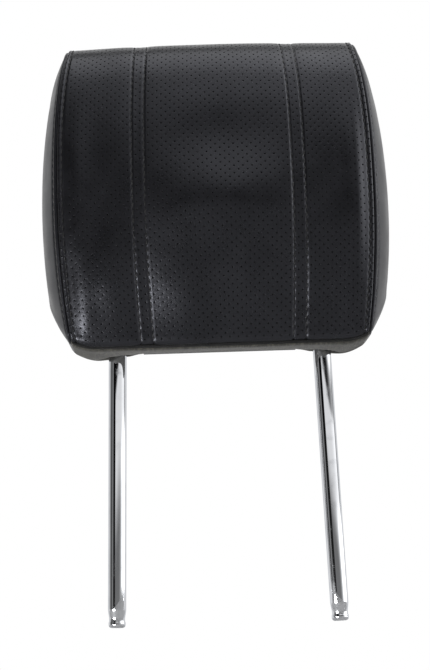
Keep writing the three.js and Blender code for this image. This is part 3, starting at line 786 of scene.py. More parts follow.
@dataclass
class Wardrobe:
    """Every finish of the headrest, built once and kept by the record's slot or by its use."""

    finishes: dict = field(default_factory=dict)

    def build(self) -> None:
        """Builds the shared effects and all the materials."""
        for group in (grain_group, fibre_group, polish_group):
            group()
        cream, cream_light = (0.55, 0.48, 0.30, 1.0), (0.66, 0.60, 0.40, 1.0)
        grey, grey_light = (0.36, 0.36, 0.37, 1.0), (0.46, 0.46, 0.47, 1.0)
        yarn, yarn_light = (0.008, 0.008, 0.009, 1.0), (0.014, 0.014, 0.015, 1.0)
        # Near-black matt colours for painted shade: the hole floors and the seam cords stand for shade, and
        # the hole walls are partly the black leather's cut edge.
        shade_black, shade_black_lighter = (0.004, 0.004, 0.004, 1.0), (0.008, 0.008, 0.008, 1.0)
        for finish in (
            LeatherFinish("perforated_leather"),
            LeatherFinish("plain_leather", smoothest=0.32, roughest=0.43, mirror=0.38),
            FabricFinish("base_fabric"),
            MetalFinish("chrome"),
            MetalFinish("screw_steel", clean=grey_light, smeared=grey, smoothest=0.25, roughest=0.4),
            MouldedFinish("closure_plastic"),
            MouldedFinish("core_plastic", fineness=500.0),
            MouldedFinish("foam", cream, cream_light, 0.85, 0.98, 900.0, 0.0006),
            MouldedFinish("thread", yarn, yarn_light, 0.42, 0.6, 3000.0, 0.0001),
            # Painted shade: near-black paint for the hole walls and floors and for the cords in the base
            # seams.
            MouldedFinish("hole_and_seam_shade", shade_black, shade_black_lighter, 0.8, 0.95, 1500.0, 0.0001),
        ):
            self.finishes[finish.name] = finish.build()

    def wear(self, obj: bpy.types.Object, name: str) -> None:
        """Gives an object one of the finishes."""
        obj.data.materials.clear()
        obj.data.materials.append(self.finishes[name])

    def piece(self, name: str, shape: Shape, finish: str, slot: str, *nodes: str) -> None:
        """Makes a piece from arrays, dresses it and puts it in its place.

        Args:
            name: Name of the piece.
            shape: Its vertex places and face arrays.
            finish: One of the finishes.
            slot: Slot of its finish in the record.
            nodes: Solids that it stands for.
        """
        obj = lift_object(name, *shape)
        self.wear(obj, finish)
        take_place(obj, slot, *nodes)


# ---- Sub-assemblies


@dataclass
class LeatherRelief:
    """The low relief that sewing gives the leather, in millimetres."""

    fold_radius: float = 2.3
    fold_depth: float = 3.0
    topstitch_inset: float = 4.0
    topstitch_depth: float = 0.6
    topstitch_width: float = 0.85
    pillow: float = 0.35
    row_depth: float = 0.75
    row_width: float = 0.62
    row_lip: float = 0.05
    pair_dip: float = 0.6
    pair_dip_width: float = 7.0
    border: float = 1.5
    wave: float = 0.32
    lip_offset: float = 1.9
    lip_width: float = 0.8
    pucker_share: float = 0.5
    stitch_pitch: float = 5.6

    def fold(self, inset: Array) -> Array:
        """Depth of a folded edge: a quarter circle, depth * (1 - sqrt(1 - (1 - inset / r)^2))."""
        t = np.clip(1 - inset / self.fold_radius, 0, 1)
        return self.fold_depth * (1 - np.sqrt(np.maximum(1 - t**2, 0)))

    def pucker(self, s: Array) -> Array:
        """Pull of the stitches along a row: deepest where the needle went through."""
        return 1 + self.pucker_share * np.cos(TAU * s / self.stitch_pitch)

    def turn(self, inset: Array) -> Array:
        """Share by which the normal turns to the seam's own direction within the fold."""
        return np.clip(1 - inset / self.fold_radius, 0, 1)[..., None] ** 1.5

    def edge_band(self, inset: Array, s: Array) -> Array:
        """Height of a sewn edge: the fold, a full band beside it and the topstitch's groove.

        Args:
            inset: Distance inward from the seam.
            s: Distance along the seam.

        Returns:
            Height over the plain form.
        """
        pillow = self.pillow * np.sin(np.pi * np.clip(inset / self.topstitch_inset, 0, 1))
        groove = self.topstitch_depth * bell(inset - self.topstitch_inset, self.topstitch_width)
        return pillow - groove * self.pucker(s) - self.fold(inset)

    def row(self, off: Array, s: Array) -> Array:
        """Height of a decorative row at a distance off it: a groove with a lip on each side.

        Args:
            off: Distance off the row.
            s: Distance along it.

        Returns:
            Height over the plain form.
        """
        sides = bell(off - self.lip_offset, self.lip_width) + bell(off + self.lip_offset, self.lip_width)
        lips = self.row_lip * sides
        return lips - self.row_depth * bell(off, self.row_width) * self.pucker(s)


@dataclass
class StripPanel:
    """A leather panel between the side seams, over a stretch of the head's section.

    Each bump of the stuffing is a height, the place and width of its bell in x, and the place and
    width of its bell in z.
    """

    form: HeadForm
    relief: LeatherRelief
    start: float
    end: float
    rows_sewn: bool
    seed: float
    ends_topstitched: tuple[bool, bool] = (False, True)
    band: float = 6.5
    wave_edge: Pair = (3.0, 14.0)
    stuffing_edge: Pair = (4.0, 12.0)
    border_inset: float = 14.0
    border_width: float = 8.0
    border_heights: Pair = (120.0, 190.0)
    border_start: Pair = (2.0, 26.0)
    bumps: tuple[Numbers, ...] = (
        (4.2, -76.0, 20.0, 42.0, 30.0),
        (-0.9, -50.0, 9.0, 40.0, 34.0),
        (2.2, -22.0, 16.0, 34.0, 26.0),
        (1.5, 98.0, 9.0, 112.0, 62.0),
        (0.9, 40.0, 24.0, 50.0, 36.0),
        (-0.8, 56.0, 9.0, 50.0, 45.0),
        (5.2, 4.0, 46.0, 98.0, 27.0),
        (-3.0, 4.0, 46.0, 147.0, 24.0),
        (2.6, 4.0, 56.0, 138.0, 46.0),
    )
    insets: Numbers = (0.0, 0.1, 0.35, 0.8, 1.45, 2.7, 3.1, 3.55, 4.0, 4.45, 4.9, 5.6, 6.5)

    def height(self, s: Array, x: Array) -> Array:
        """Height of the sewn surface over the plain form.

        It is the sum of a slow wave, the bands of the sewn edges, a roll beside the side seams and
        the folds at both ends. Where rows are sewn, their grooves, a shallow dip under each pair
        and the stuffing come to it.

        Args:
            s: Distance along the section.
            x: Place from side to side.

        Returns:
            Height over the plain form.
        """
        z = self.form.section(s)[1]
        inset = self.form.half_width(z) - np.abs(x)
        from_start, from_end = s - self.start, self.end - s
        height = self.relief.wave * ripple(s, x, self.seed) * smooth(*self.wave_edge, inset)
        height = height + self.relief.edge_band(inset, s)
        roll = bell(inset - self.border_inset, self.border_width)
        roll = roll * (1 - smooth(*self.border_heights, z)) * smooth(*self.border_start, from_start)
        height = height + self.relief.border * roll
        for distance, sewn in zip((from_start, from_end), self.ends_topstitched):
            if sewn:
                height = height + self.relief.edge_band(distance, x) + self.relief.fold(distance)
        height = height - np.maximum(self.relief.fold(from_start), self.relief.fold(from_end))
        if self.rows_sewn:
            for side in (-1, 1):
                pair = [self.form.stitch_x(s, side, row) for row in (-1, 1)]
                for row in pair:
                    height = height + self.relief.row(x - row, s)
                middle = (pair[0] + pair[1]) / 2
                height = height - self.relief.pair_dip * bell(x - middle, self.relief.pair_dip_width)
            height = height + self.stuffing(x, z, inset)
        return height

    def stuffing(self, x: Array, z: Array, inset: Array) -> Array:
        """Soft bulges and hollows of the face, where the foam pushes unevenly.

        A sum of smooth bumps: each is a height times a bell in x times a bell in z.

        Args:
            x: Place from side to side.
            z: Height.
            inset: Distance inward from the seam.

        Returns:
            Height that the stuffing adds.
        """
        height = np.zeros_like(x)
        for rise, at_x, width, at_z, tall in self.bumps:
            height = height + rise * bell(x - at_x, width) * bell(z - at_z, tall)
        return height * smooth(*self.stuffing_edge, inset)

    def surface(self, s: Array, x: Array, extra: float | Array = 0.0) -> Array:
        """Point of the sewn surface: form + normal * (height + extra), the normal turned at a fold.

        Args:
            s: Distance along the section.
            x: Place from side to side.
            extra: Height over the sewn surface.

        Returns:
            Points in millimetres.
        """
        turn = self.relief.turn(self.form.half_width(self.form.section(s)[1]) - np.abs(x))
        seam = self.form.seam_normal(s)
        seam[..., 0] = seam[..., 0] * np.where(x < 0, -1.0, 1.0)
        normal = unit(self.form.strip_normal(s, x) * (1 - turn) + seam * turn)
        return self.form.strip(s, x) + normal * (self.height(s, x) + extra)[..., None]


@dataclass
class PunchedGrid:
    """Grid lines of a strip panel and the punched holes between them.

    Columns follow a lattice that is fixed to the leather; the lines that would pass the band along
    the seam are stopped at it, and the band has columns of its own. A gap between two lines has
    the number of its hole column, NO_HOLES, or BAND_HOLES for the band's own column.
    """

    panel: StripPanel
    column_pitch: float = 51.8 / 18
    row_pitch: float = 1.4
    hole_radius: float = 0.58
    hole_depth: float = 0.9
    hole_taper: float = 0.86
    rim_sunk: float = 0.06
    narrowest: float = 1.1
    reach: float = 118.0
    sewn_columns: tuple[int, ...] = (-20, -17, 16, 19)
    spread_reach: float = 46.0
    stop: float = 0.25
    band_holes_at: int = 4
    rows_to_next: int = 4
    punched: bool = True
    end_insets: Numbers = (0.0, 0.1, 0.35, 0.8, 1.45, 2.3)

    def lattice(self) -> tuple[Array, Array]:
        """Lines across the leather and the kind of each gap between two.

        Returns:
            Places of the lines, and one kind fewer than lines.
        """
        reach = int(self.reach / self.column_pitch)
        sewn = self.sewn_columns if self.panel.rows_sewn else ()
        quarter = self.column_pitch / 4
        lines, gaps = [], []
        for m in range(-reach, reach + 1):
            centre = (m + 0.5) * self.column_pitch
            steps = (-2 * quarter, -quarter, 0.0, quarter, 2 * quarter) if m in sewn else (-quarter, quarter)
            lines += [centre + step for step in steps]
            gaps += [NO_HOLES] * len(steps) if m in sewn else [m, NO_HOLES]
        return np.array(lines), np.array(gaps[:-1])

    def rows(self) -> Array:
        """Distances along the section of the grid's rows, closer together at both ends.

        Returns:
            The distances, in order.
        """
        margin = self.end_insets[-1]
        start, end = self.panel.start + margin, self.panel.end - margin
        count = int(round((end - start) / self.row_pitch))
        first = [self.panel.start + inset for inset in self.end_insets[:-1]]
        last = [self.panel.end - inset for inset in reversed(self.end_insets[:-1])]
        return np.concatenate([first, np.linspace(start, end, count + 1), last])

    def layout(self) -> tuple[Array, Array, Array, Array]:
        """Grid of (s, x), vertex numbers with stopped lines merged, and the hole gaps.

        Returns:
            s and x of each grid point, vertex numbers, and the kind of each gap.
        """
        form = self.panel.form
        lines, gaps = self.lattice()
        s = self.rows()
        z = form.section(s)[1]
        half = form.half_width(z)[:, None]
        spread = form.spread(z)[:, None] * np.clip(lines / self.spread_reach, -1, 1)[None, :]
        x = form.row_shift + lines[None, :] + spread
        limit = half - self.panel.band
        too_low, too_high = x <= -limit + self.stop, x >= limit - self.stop
        border = np.array(self.panel.insets)[None, :]
        left, right = border - half, (half - border)[:, ::-1]
        grid = np.concatenate([left, np.clip(x, -limit, limit), right], 1)
        count = left.shape[1]
        index = np.arange(grid.size).reshape(grid.shape)
        inner = index[:, count:-count]
        inner[:] = np.where(too_low, index[:, count - 1 : count], inner)
        inner[:] = np.where(too_high, index[:, -count][:, None], inner)
        band = np.full(count - 1, NO_HOLES)
        band[self.band_holes_at] = BAND_HOLES
        kinds = np.concatenate([band, [NO_HOLES], gaps, [NO_HOLES], band[::-1]])
        return np.broadcast_to(s[:, None], grid.shape), grid, index, kinds

    def ring(self, centre: Array, radius: float, extra: float) -> Array:
        """Eight points round every hole's middle (s, x), at a height over the surface.

        Args:
            centre: s and x of every hole's middle.
            radius: Radius of the ring.
            extra: Height over the sewn surface.

        Returns:
            Points in millimetres.
        """
        angle = np.radians(22.5 + 45 * np.arange(8))[None, :]
        at_s = centre[0][:, None] + radius * np.sin(angle)
        at_x = centre[1][:, None] + radius * np.cos(angle)
        return self.panel.surface(at_s.ravel(), at_x.ravel(), extra)

    def build(self, name: str) -> tuple[bpy.types.Object, bpy.types.Object | None]:
        """Makes the leather, with an eight-sided opening in each punched cell, and the hole walls.

        Args:
            name: Name of the leather; the walls are named after it.

        Returns:
            The leather and the walls of its holes, or None where nothing is punched.
        """
        s, x, index, kinds = self.layout()
        s, x = s.ravel(), x.ravel()
        quads = grid_faces(index)
        whole = (quads[:, 0] != quads[:, 1]) & (quads[:, 2] != quads[:, 3])
        points = self.panel.surface(s, x)
        if not self.punched:
            return lift_object(name, points, [quads[whole]]), None
        row, column = np.divmod(np.arange(len(quads)), index.shape[1] - 1)
        first = len(self.end_insets) - 1
        step, kind = row - first, kinds[column]
        hole = whole & (step >= 1) & (row < index.shape[0] - 2 - first) & (kind != NO_HOLES)
        hole &= np.mod(step, self.rows_to_next) == self.rows_to_next // 2 * np.mod(kind, 2)
        hole &= x[quads[:, 1]] - x[quads[:, 0]] > self.narrowest
        cells = quads[hole]
        centre = np.stack([s[cells].mean(1), x[cells].mean(1)])
        rim = self.ring(centre, self.hole_radius, -self.rim_sunk)
        around = np.arange(len(cells) * 8).reshape(-1, 8)
        at = around + len(points)
        # corners of a cell in the order of the quadrants: (+,+), (-,+), (-,-), (+,-) in (x, s)
        corner = cells[:, [2, 3, 0, 1]]
        wedges = [np.stack([corner[:, k], at[:, 2 * k + 1], at[:, 2 * k]], -1) for k in range(4)]
        sides = [
            np.stack([corner[:, k], corner[:, k - 3], at[:, 2 * k - 6], at[:, 2 * k + 1]], -1)
            for k in range(4)
        ]
        faces = [np.concatenate([quads[whole & ~hole], *sides]), np.concatenate(wedges)]
        leather = lift_object(name, np.concatenate([points, rim]), faces)
        low = self.ring(centre, self.hole_radius * self.hole_taper, -self.hole_depth)
        after = np.roll(around, -1, 1)
        walls = np.stack([around, after, after + rim.shape[0], around + rim.shape[0]], -1).reshape(-1, 4)
        holes = lift_object(f"{name}_holes", np.concatenate([rim, low]), [walls, around + len(rim)])
        log.info("%s: %d punched holes", name, len(cells))
        return leather, holes


@dataclass
class StitchRow:
    """Stitches along a line on a surface, each a short bowed thread with sunk ends."""

    pitch: float = 5.6
    gap: float = 1.1
    radius: float = 0.46
    bow: float = 0.35
    sunk: float = 0.55
    slant: float = 0.14
    end_narrowing: float = 0.45
    flatness: float = 0.85
    rings: int = 7
    sides: int = 6

    def build(self, line: Array, normal: Array, run: Array, shift: float = 0.0) -> Shape:
        """Threads along a dense line.

        Each thread's centre is line + normal * (bow * sin(pi t) - sunk * |2t - 1|^6), and its
        section is an ellipse that narrows towards both ends.

        Args:
            line: Dense points along the row.
            normal: Outward normals there.
            run: Distance run at each point.
            shift: Where the first stitch starts.

        Returns:
            Vertex places and face arrays.
        """
        count = int((run[-1] - shift) / self.pitch)
        t = np.linspace(0, 1, self.rings)
        at = shift + self.pitch * np.arange(count)[:, None] + self.gap / 2 + (self.pitch - self.gap) * t
        place = np.stack([np.interp(at, run, line[:, k]) for k in range(3)], -1)
        up = unit(np.stack([np.interp(at, run, normal[:, k]) for k in range(3)], -1))
        rise = self.bow * np.sin(np.pi * t) - self.sunk * np.abs(2 * t - 1) ** 6
        centre = place + up * rise[None, :, None]
        tangent = unit(np.gradient(centre, axis=1))
        across = unit(np.cross(tangent, up))
        over = np.cross(across, tangent)
        centre = centre + self.slant * (2 * t - 1)[None, :, None] * across
        angle = np.arange(self.sides) * TAU / self.sides
        thick = self.radius * (1 - self.end_narrowing * np.abs(2 * t - 1) ** 4)
        wide = np.cos(angle)[None, None, :, None] * across[:, :, None, :]
        ring = wide + self.flatness * np.sin(angle)[None, None, :, None] * over[:, :, None, :]
        points = centre[:, :, None, :] + thick[None, :, None, None] * ring
        index = np.arange(count * self.rings * self.sides).reshape(-1, self.rings, self.sides)
        wrapped = np.concatenate([index, index[:, :, :1]], 2)
        corners = (wrapped[:, :-1, :-1], wrapped[:, 1:, :-1], wrapped[:, 1:, 1:], wrapped[:, :-1, 1:])
        caps = np.concatenate([index[:, 0, :], index[:, -1, ::-1]])
        return points.reshape(-1, 3), [np.stack(corners, -1).reshape(-1, 4), caps]


def dense_row(surface: Surface, first: Array, second: Array) -> tuple[Array, ...]:
    """A line on a surface with its normals and the distance run.

    Args:
        surface: Function of two parameter arrays that gives points.
        first: First parameter along the line.
        second: Second parameter along the line.

    Returns:
        Points, outward normals and distance run.
    """
    line = surface(first, second)
    run = np.concatenate([[0.0], np.cumsum(np.linalg.norm(np.diff(line, axis=0), axis=1))])
    along = surface(first + 0.4, second) - surface(first - 0.4, second)
    across = surface(first, second + 0.4) - surface(first, second - 0.4)
    return line, unit(np.cross(across, along)), run


@dataclass
class LeatherCover:
    """The sewn leather cover: perforated front, plain rear and two plain sides."""

    form: HeadForm
    wardrobe: Wardrobe
    relief: LeatherRelief = field(default_factory=LeatherRelief)
    seam_gap: float = 0.2
    top_row_reach: float = 92.0
    row_ends: Pair = (4.0, 5.0)
    topstitch_end: float = 3.0
    side_stitch_end: float = 4.0
    side_insets: Numbers = (0, 0.1, 0.35, 0.8, 1.45, 2.3, 3, 3.5, 4, 4.5, 5, 6, 7.6, 9.6, 12)
    side_row_pitch: float = 1.6

    def build(self) -> None:
        """Builds all the panels and their stitching."""
        low, top, back = (self.form.line[key] for key in ("front_seam", "top_seam", "rear_seam"))
        gap = self.seam_gap
        front = StripPanel(self.form, self.relief, low + gap, top - gap, True, 1.3)
        rear = StripPanel(self.form, self.relief, top + gap, back - gap, False, 4.2, (True, False))
        self.front_panel(front)
        self.rear_panel(rear)
        for side, name in ((1, "right"), (-1, "left")):
            self.side_panel(side, name)
        self.stitching(front, rear)

    def front_panel(self, panel: StripPanel) -> None:
        """The perforated panel that covers the face and wraps over the top.

        Args:
            panel: Its surface.
        """
        leather, holes = PunchedGrid(panel).build("front_cover")
        self.wardrobe.wear(leather, "perforated_leather")
        # The hole walls and floors are painted near black: painted shade inside each hole, over the walls'
        # black leather edge.
        self.wardrobe.wear(holes, "hole_and_seam_shade")
        take_place(leather, "perforated_leather", "front_panel")
        take_place(holes, "perforated_leather")

    def rear_panel(self, panel: StripPanel) -> None:
        """The plain panel down the back.

        Args:
            panel: Its surface.
        """
        leather, _ = PunchedGrid(panel, punched=False).build("rear_cover")
        self.wardrobe.wear(leather, "plain_leather")
        take_place(leather, "plain_leather", "rear_panel")

    def side_surface(self, s: Array, inset: Array, mirror: int) -> Array:
        """Point of a side's sewn surface: form + normal * height, mirrored in x for the left.

        Args:
            s: Distance along the section.
            inset: Distance inward from the seam.
            mirror: 1 for the right side, -1 for the left.

        Returns:
            Points in millimetres.
        """
        relief = self.relief
        wave = relief.wave * ripple(s * 0.8, inset * 1.6 + 40 * mirror, 2.6 + mirror)
        height = relief.edge_band(inset, s) + wave * smooth(4.0, 16.0, inset) * (1 - smooth(30, 42, inset))
        turn, inset = relief.turn(inset), np.maximum(inset, 0.0)
        normal = unit(self.form.side_normal(s, inset) * (1 - turn) + self.form.seam_normal(s) * turn)
        points = self.form.side(s, inset) + normal * height[..., None]
        return points * np.array([mirror, 1.0, 1.0])

    def side_panel(self, mirror: int, name: str) -> None:
        """A plain side panel: rings from the seam in to the spine, closed along the spine.

        Args:
            mirror: 1 for the right side, -1 for the left.
            name: Side that names the piece and its solid.
        """
        length = self.form.line["length"]
        s = np.linspace(0, length, int(length / self.side_row_pitch), endpoint=False)
        near = np.array(self.side_insets, float)
        edge = self.form.edge(s)
        reach = np.linalg.norm(self.form.spine(edge) - edge, axis=-1)
        far = np.linspace(0, 1, 19)[None, 1:] * (reach[:, None] - near[-1]) + near[-1]
        inset = np.concatenate([np.broadcast_to(near, (len(s), len(near))), far], 1)
        grid_s = np.broadcast_to(s[:, None], inset.shape)
        points = self.side_surface(grid_s.ravel(), inset.ravel(), mirror)
        index = np.arange(inset.size).reshape(inset.shape)
        faces = grid_faces(np.concatenate([index, index[:1]]))
        panel = lift_object(f"{name}_side_cover", points, [faces if mirror > 0 else faces[:, ::-1]])
        merge_points(panel, 0.05)
        self.wardrobe.wear(panel, "plain_leather")
        take_place(panel, "plain_leather", f"{name}_side_panel")

    def stitching(self, front: StripPanel, rear: StripPanel) -> None:
        """Every visible thread: decorative rows, topstitches and the edges of the sides.

        Args:
            front: Surface of the front panel.
            rear: Surface of the rear panel.
        """
        thread, inset = StitchRow(), self.relief.topstitch_inset
        rows, edges, sides = [], [], []
        s = np.linspace(front.start + self.row_ends[0], front.end - self.row_ends[1], 900)
        for side in (-1, 1):
            for row in (-1, 1):
                line = dense_row(front.surface, s, self.form.stitch_x(s, side, row))
                rows.append(thread.build(*line, shift=0.4 * row + 0.6))
        self.wardrobe.piece("front_row_stitches", joined(rows), "thread", "perforated_leather")
        for panel in (front, rear):
            s = np.linspace(panel.start + self.topstitch_end, panel.end - self.topstitch_end, 900)
            half = self.form.half_width(self.form.section(s)[1])
            edges += [thread.build(*dense_row(panel.surface, s, side * (half - inset))) for side in (-1, 1)]
        x = np.linspace(-self.top_row_reach, self.top_row_reach, 500)
        for panel, at in ((front, front.end - inset), (rear, rear.start + inset)):
            edges.append(thread.build(*dense_row(panel.surface, np.full_like(x, at), x)))
        self.wardrobe.piece("panel_topstitches", joined(edges), "thread", "plain_leather")
        s = np.linspace(front.start + self.side_stitch_end, rear.end - self.side_stitch_end, 1500)
        for mirror in (-1, 1):
            surface = partial(self.side_surface, mirror=mirror)
            line, normal, run = dense_row(surface, s, np.full_like(s, inset))
            sides.append(thread.build(line, normal * mirror, run))
        self.wardrobe.piece("side_topstitches", joined(sides), "thread", "plain_leather")


@dataclass
class FabricBase:
    """The fabric underside: two flaps that meet at the closure, round the posts."""

    form: HeadForm
    wardrobe: Wardrobe
    relief: LeatherRelief = field(default_factory=partial(LeatherRelief, fold_depth=2.2))
    closure_half_length: float = 54.3
    closure_half_width: float = 4.9
    closure_end: float = 1.2
    meeting_gap: float = 0.25
    post_x: float = 72.5
    post_radius: float = 6.5
    post_gather: float = 15.0
    collar: float = 1.5
    pleat: float = 0.5
    pleats: int = 9
    unevenness: float = 0.35
    edge_insets: Numbers = (0.0, 0.1, 0.35, 0.8, 1.45, 2.3)
    edge_reach: float = 4.0
    # The near-black cord painted into each leather-to-fabric seam as its shade: its radius, how deep it
    # sinks and its inset from the sides.
    shade_cord_radius: float = 1.25
    shade_cord_sunk: float = 0.75
    shade_cord_inset: float = 1.2

    def flap_end(self, x: Array) -> Array:
        """Distance of a flap's inner edge from the middle: the closure's slot, else a hairline."""
        slot = 1 - smooth(0.0, self.closure_end, np.abs(x) - self.closure_half_length)
        return self.meeting_gap + (self.closure_half_width - self.meeting_gap) * slot

    def surface(self, s: Array, x: Array, depth: Array) -> Array:
        """Point of the underside, gathered round the posts and gently uneven.

        Within the gather the fabric is pushed away from the post's middle, to post radius +
        (gather - post radius) * distance / gather, and rises with small pleats.

        Args:
            s: Distance along the section.
            x: Place from side to side.
            depth: How far the point is drawn inward.

        Returns:
            Points in millimetres.
        """
        points = self.form.strip(s, x)
        uneven = self.unevenness * ripple(points[..., 1] * 2.3, x * 1.3, 5.1)
        points = points - self.form.strip_normal(s, x) * (uneven + depth)[..., None]
        for side in (-1, 1):
            post = np.array([side * self.post_x, 0.0])
            offset = points[..., :2] - post
            distance = np.linalg.norm(offset, axis=-1)
            near = np.clip(1 - distance / self.post_gather, 0, 1)
            target = self.post_radius + (self.post_gather - self.post_radius) * distance / self.post_gather
            pushed = offset / np.maximum(distance, 1e-6)[..., None] * target[..., None] + post
            angle = np.arctan2(offset[..., 1], offset[..., 0])
            points[..., :2] = np.where(near[..., None] > 0, pushed, points[..., :2])
            points[..., 2] += near**2 * (self.collar + self.pleat * np.sin(self.pleats * angle))
        return points

    def flap(self, name: str, seam: float, facing: int, node: str) -> None:
        """One flap, from its leather seam to its inner edge.

        Rows run from the seam to the middle, columns from side seam to side seam. The outer rows
        and columns roll into the seams and the last rows turn up along the closure.

        Args:
            name: Name of the piece.
            seam: Distance of its seam along the section.
            facing: -1 for the front flap, 1 for the rear one.
            node: Solid that it stands for.
        """
        line, insets = self.form.line, np.array(self.edge_insets)
        half = self.form.half_at(seam) - 0.05
        inner = half - self.edge_reach
        columns = np.concatenate([insets - half, np.linspace(-inner, inner, 150), (half - insets)[::-1]])
        stop = self.flap_end(columns)
        if facing > 0:
            tail = line["run"] > line["back"]
            order = np.argsort(line["place"][tail, 0])
            stop = np.interp(stop, line["place"][tail, 0][order], line["run"][tail][order])
        s = seam + (stop[None, :] - seam) * np.linspace(0, 1, 34)[:, None]
        first = seam + np.sign(stop[None, :] - seam) * insets[:, None]
        s = np.concatenate([first, s[2:]])
        x = np.broadcast_to(columns, s.shape)
        from_end = np.abs(stop[None, :] - s)
        edges = (np.abs(s - seam), half - np.abs(x), from_end * 1.5)
        depth = np.maximum.reduce([self.relief.fold(distance) for distance in edges])
        points = self.surface(s.ravel(), x.ravel(), depth.ravel())
        faces = grid_faces(np.arange(s.size).reshape(s.shape))
        shape = (points, [faces if facing > 0 else faces[:, ::-1]])
        self.wardrobe.piece(name, shape, "base_fabric", "base_fabric", node)

    def build(self) -> None:
        """Builds both flaps and a near-black cord in each of their seams, painted shade for the seam's dark
        gap, and dresses the closure strips.
        """
        front, rear = self.form.line["front_seam"], self.form.line["rear_seam"]
        self.flap("front_flap", front - 0.2, -1, "base_front_flap")
        self.flap("rear_flap", rear + 0.2, 1, "base_rear_flap")
        self.seam_shade_cord("front_seam_shade_cord", front)
        self.seam_shade_cord("rear_seam_shade_cord", rear)
        for node in ("closure_catch_strip", "closure_hook_strip"):
            self.wardrobe.wear(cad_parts[node], "closure_plastic")

    def seam_shade_cord(self, name: str, seam: float) -> None:
        """A near-black cord sunk in the seam between leather and fabric, from side to side: painted shade
        that stands for the seam's dark gap.

        Args:
            name: Name of the piece.
            seam: Distance of the seam along the section.
        """
        half = self.form.half_at(seam) - self.shade_cord_inset
        x = np.linspace(-half, half, 260)
        s = np.full_like(x, seam)
        path = self.form.strip(s, x) - self.form.strip_normal(s, x) * self.shade_cord_sunk
        radius = self.shade_cord_radius * (1 + 0.12 * ripple(x * 5.0, x * 3.0, seam))
        # The tube is painted shade: a dark filling for the seam's gap.
        shade_tube = tube(path, radius, np.array([0.0, 0.0, 1.0]), 12)
        self.wardrobe.piece(name, shade_tube, "hole_and_seam_shade", "plain_leather")


@dataclass
class ChromeRod:
    """The bent rod that makes both posts, with a turned bead at each end."""

    wardrobe: Wardrobe
    diameter: float = 12.7
    spacing: float = 145.0
    length: float = 188.5
    splay_degrees: float = 1.6
    bend_radius: float = 28.0
    bar_height: float = 120.0
    bead_diameter: float = 11.9
    bead_length: float = 4.6
    neck_diameter: float = 11.1
    taper_length: float = 7.0
    flat_diameter: float = 7.6
    sides: int = 96

    def tip(self) -> tuple[Array, Array]:
        """Distance from the end and radius of the turned tip: flat, bead, neck and taper.

        Returns:
            Distances and radii.
        """
        flat, bead, neck, rod = (
            d / 2 for d in (self.flat_diameter, self.bead_diameter, self.neck_diameter, self.diameter)
        )
        angle, long = np.radians(np.linspace(0, 90, 9)), self.bead_length
        share = np.linspace(0.12, 1, 9)
        run = np.concatenate([
            0.48 * self.bead_length * (1 - np.cos(angle)),
            long * np.array([0.62, 0.76, 0.86, 0.93, 1.0, 1.12, 1.3]),
            1.3 * long + self.taper_length * share,
        ])
        radius = np.concatenate([
            flat + (bead - flat) * np.sin(angle),
            bead - (bead - neck) * np.array([0.0, 0.06, 0.3, 0.75, 1.0, 1.0, 0.97]),
            neck + (rod - neck) * smooth(0.0, 1.0, share),
        ])
        return run, radius

    def centre_line(self) -> tuple[Array, Array]:
        """Centre of the rod from the left tip over the bar to the right tip, and its radius.

        Each post is straight, leans outward by the splay, and turns into the bar on a Bezier
        quarter; the tips' radius follows the turned profile.

        Returns:
            Points and radii.
        """
        splay = math.radians(self.splay_degrees)
        lean = np.array([-math.sin(splay), 0.0, -math.cos(splay)])
        low = self.bar_height - self.bend_radius
        tip_run, tip_radius = self.tip()
        end = np.array([-self.spacing / 2, 0.0, 0.0]) + lean * (self.length / math.cos(splay))
        tip_points = end[None, :] - lean[None, :] * tip_run[:, None]
        knee_x = -(self.spacing / 2 - math.tan(splay) * low)
        knee = np.array([knee_x, 0.0, low])
        straight = np.linspace(tip_points[-1], knee, 40)[1:]
        handle = 0.5523 * self.bend_radius
        bar_start = np.array([knee_x + self.bend_radius, 0.0, self.bar_height])
        turn = bezier(knee, knee - lean * handle, bar_start - np.array([handle, 0, 0]), bar_start, 24)[1:]
        bar = np.linspace(bar_start, np.array([0.0, 0.0, self.bar_height]), 20)[1:]
        left = np.concatenate([tip_points, straight, turn, bar])
        radius = np.concatenate([tip_radius, np.full(len(left) - len(tip_radius), self.diameter / 2)])
        right = left[:-1][::-1] * np.array([-1.0, 1.0, 1.0])
        return np.concatenate([left, right]), np.concatenate([radius, radius[:-1][::-1]])

    def build(self) -> None:
        """Builds the rod as one tube."""
        path, radius = self.centre_line()
        rod = tube(path, radius, np.array([0.0, 1.0, 0.0]), self.sides)
        self.wardrobe.piece("chrome_rod", rod, "chrome", "chrome", "post_frame")


@dataclass
class InnerParts:
    """Foam pad, moulded core and screws, which the cover hides."""

    wardrobe: Wardrobe
    voxel: float = 5.0
    smoothing: int = 4

    def build(self) -> None:
        """Makes the foam pad from its solid and dresses the core and its screws."""
        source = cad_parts["foam_pad"]
        foam = source.copy()
        foam.data = source.data.copy()
        foam.name = foam.data.name = "moulded_foam"
        for key in list(foam.keys()):
            del foam[key]
        bpy.context.scene.collection.objects.link(foam)
        merge_points(foam, 0.01)
        foam.hide_render = foam.hide_viewport = False
        remesh = foam.modifiers.new("voxels", "REMESH")
        remesh.mode = "VOXEL"
        remesh.voxel_size = self.voxel * MM
        even = foam.modifiers.new("even", "SMOOTH")
        even.iterations = self.smoothing
        graph = bpy.context.evaluated_depsgraph_get()
        mesh = bpy.data.meshes.new_from_object(foam.evaluated_get(graph))
        foam.modifiers.clear()
        foam.data = mesh
        mesh.polygons.foreach_set("use_smooth", np.ones(len(mesh.polygons), dtype=bool))
        self.wardrobe.wear(foam, "foam")
        take_place(foam, "foam", "foam_pad")
        for node in ("core_front_shell", "core_rear_shell"):
            self.wardrobe.wear(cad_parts[node], "core_plastic")
        for number in range(1, 5):
            self.wardrobe.wear(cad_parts[f"core_screw_{number}"], "screw_steel")


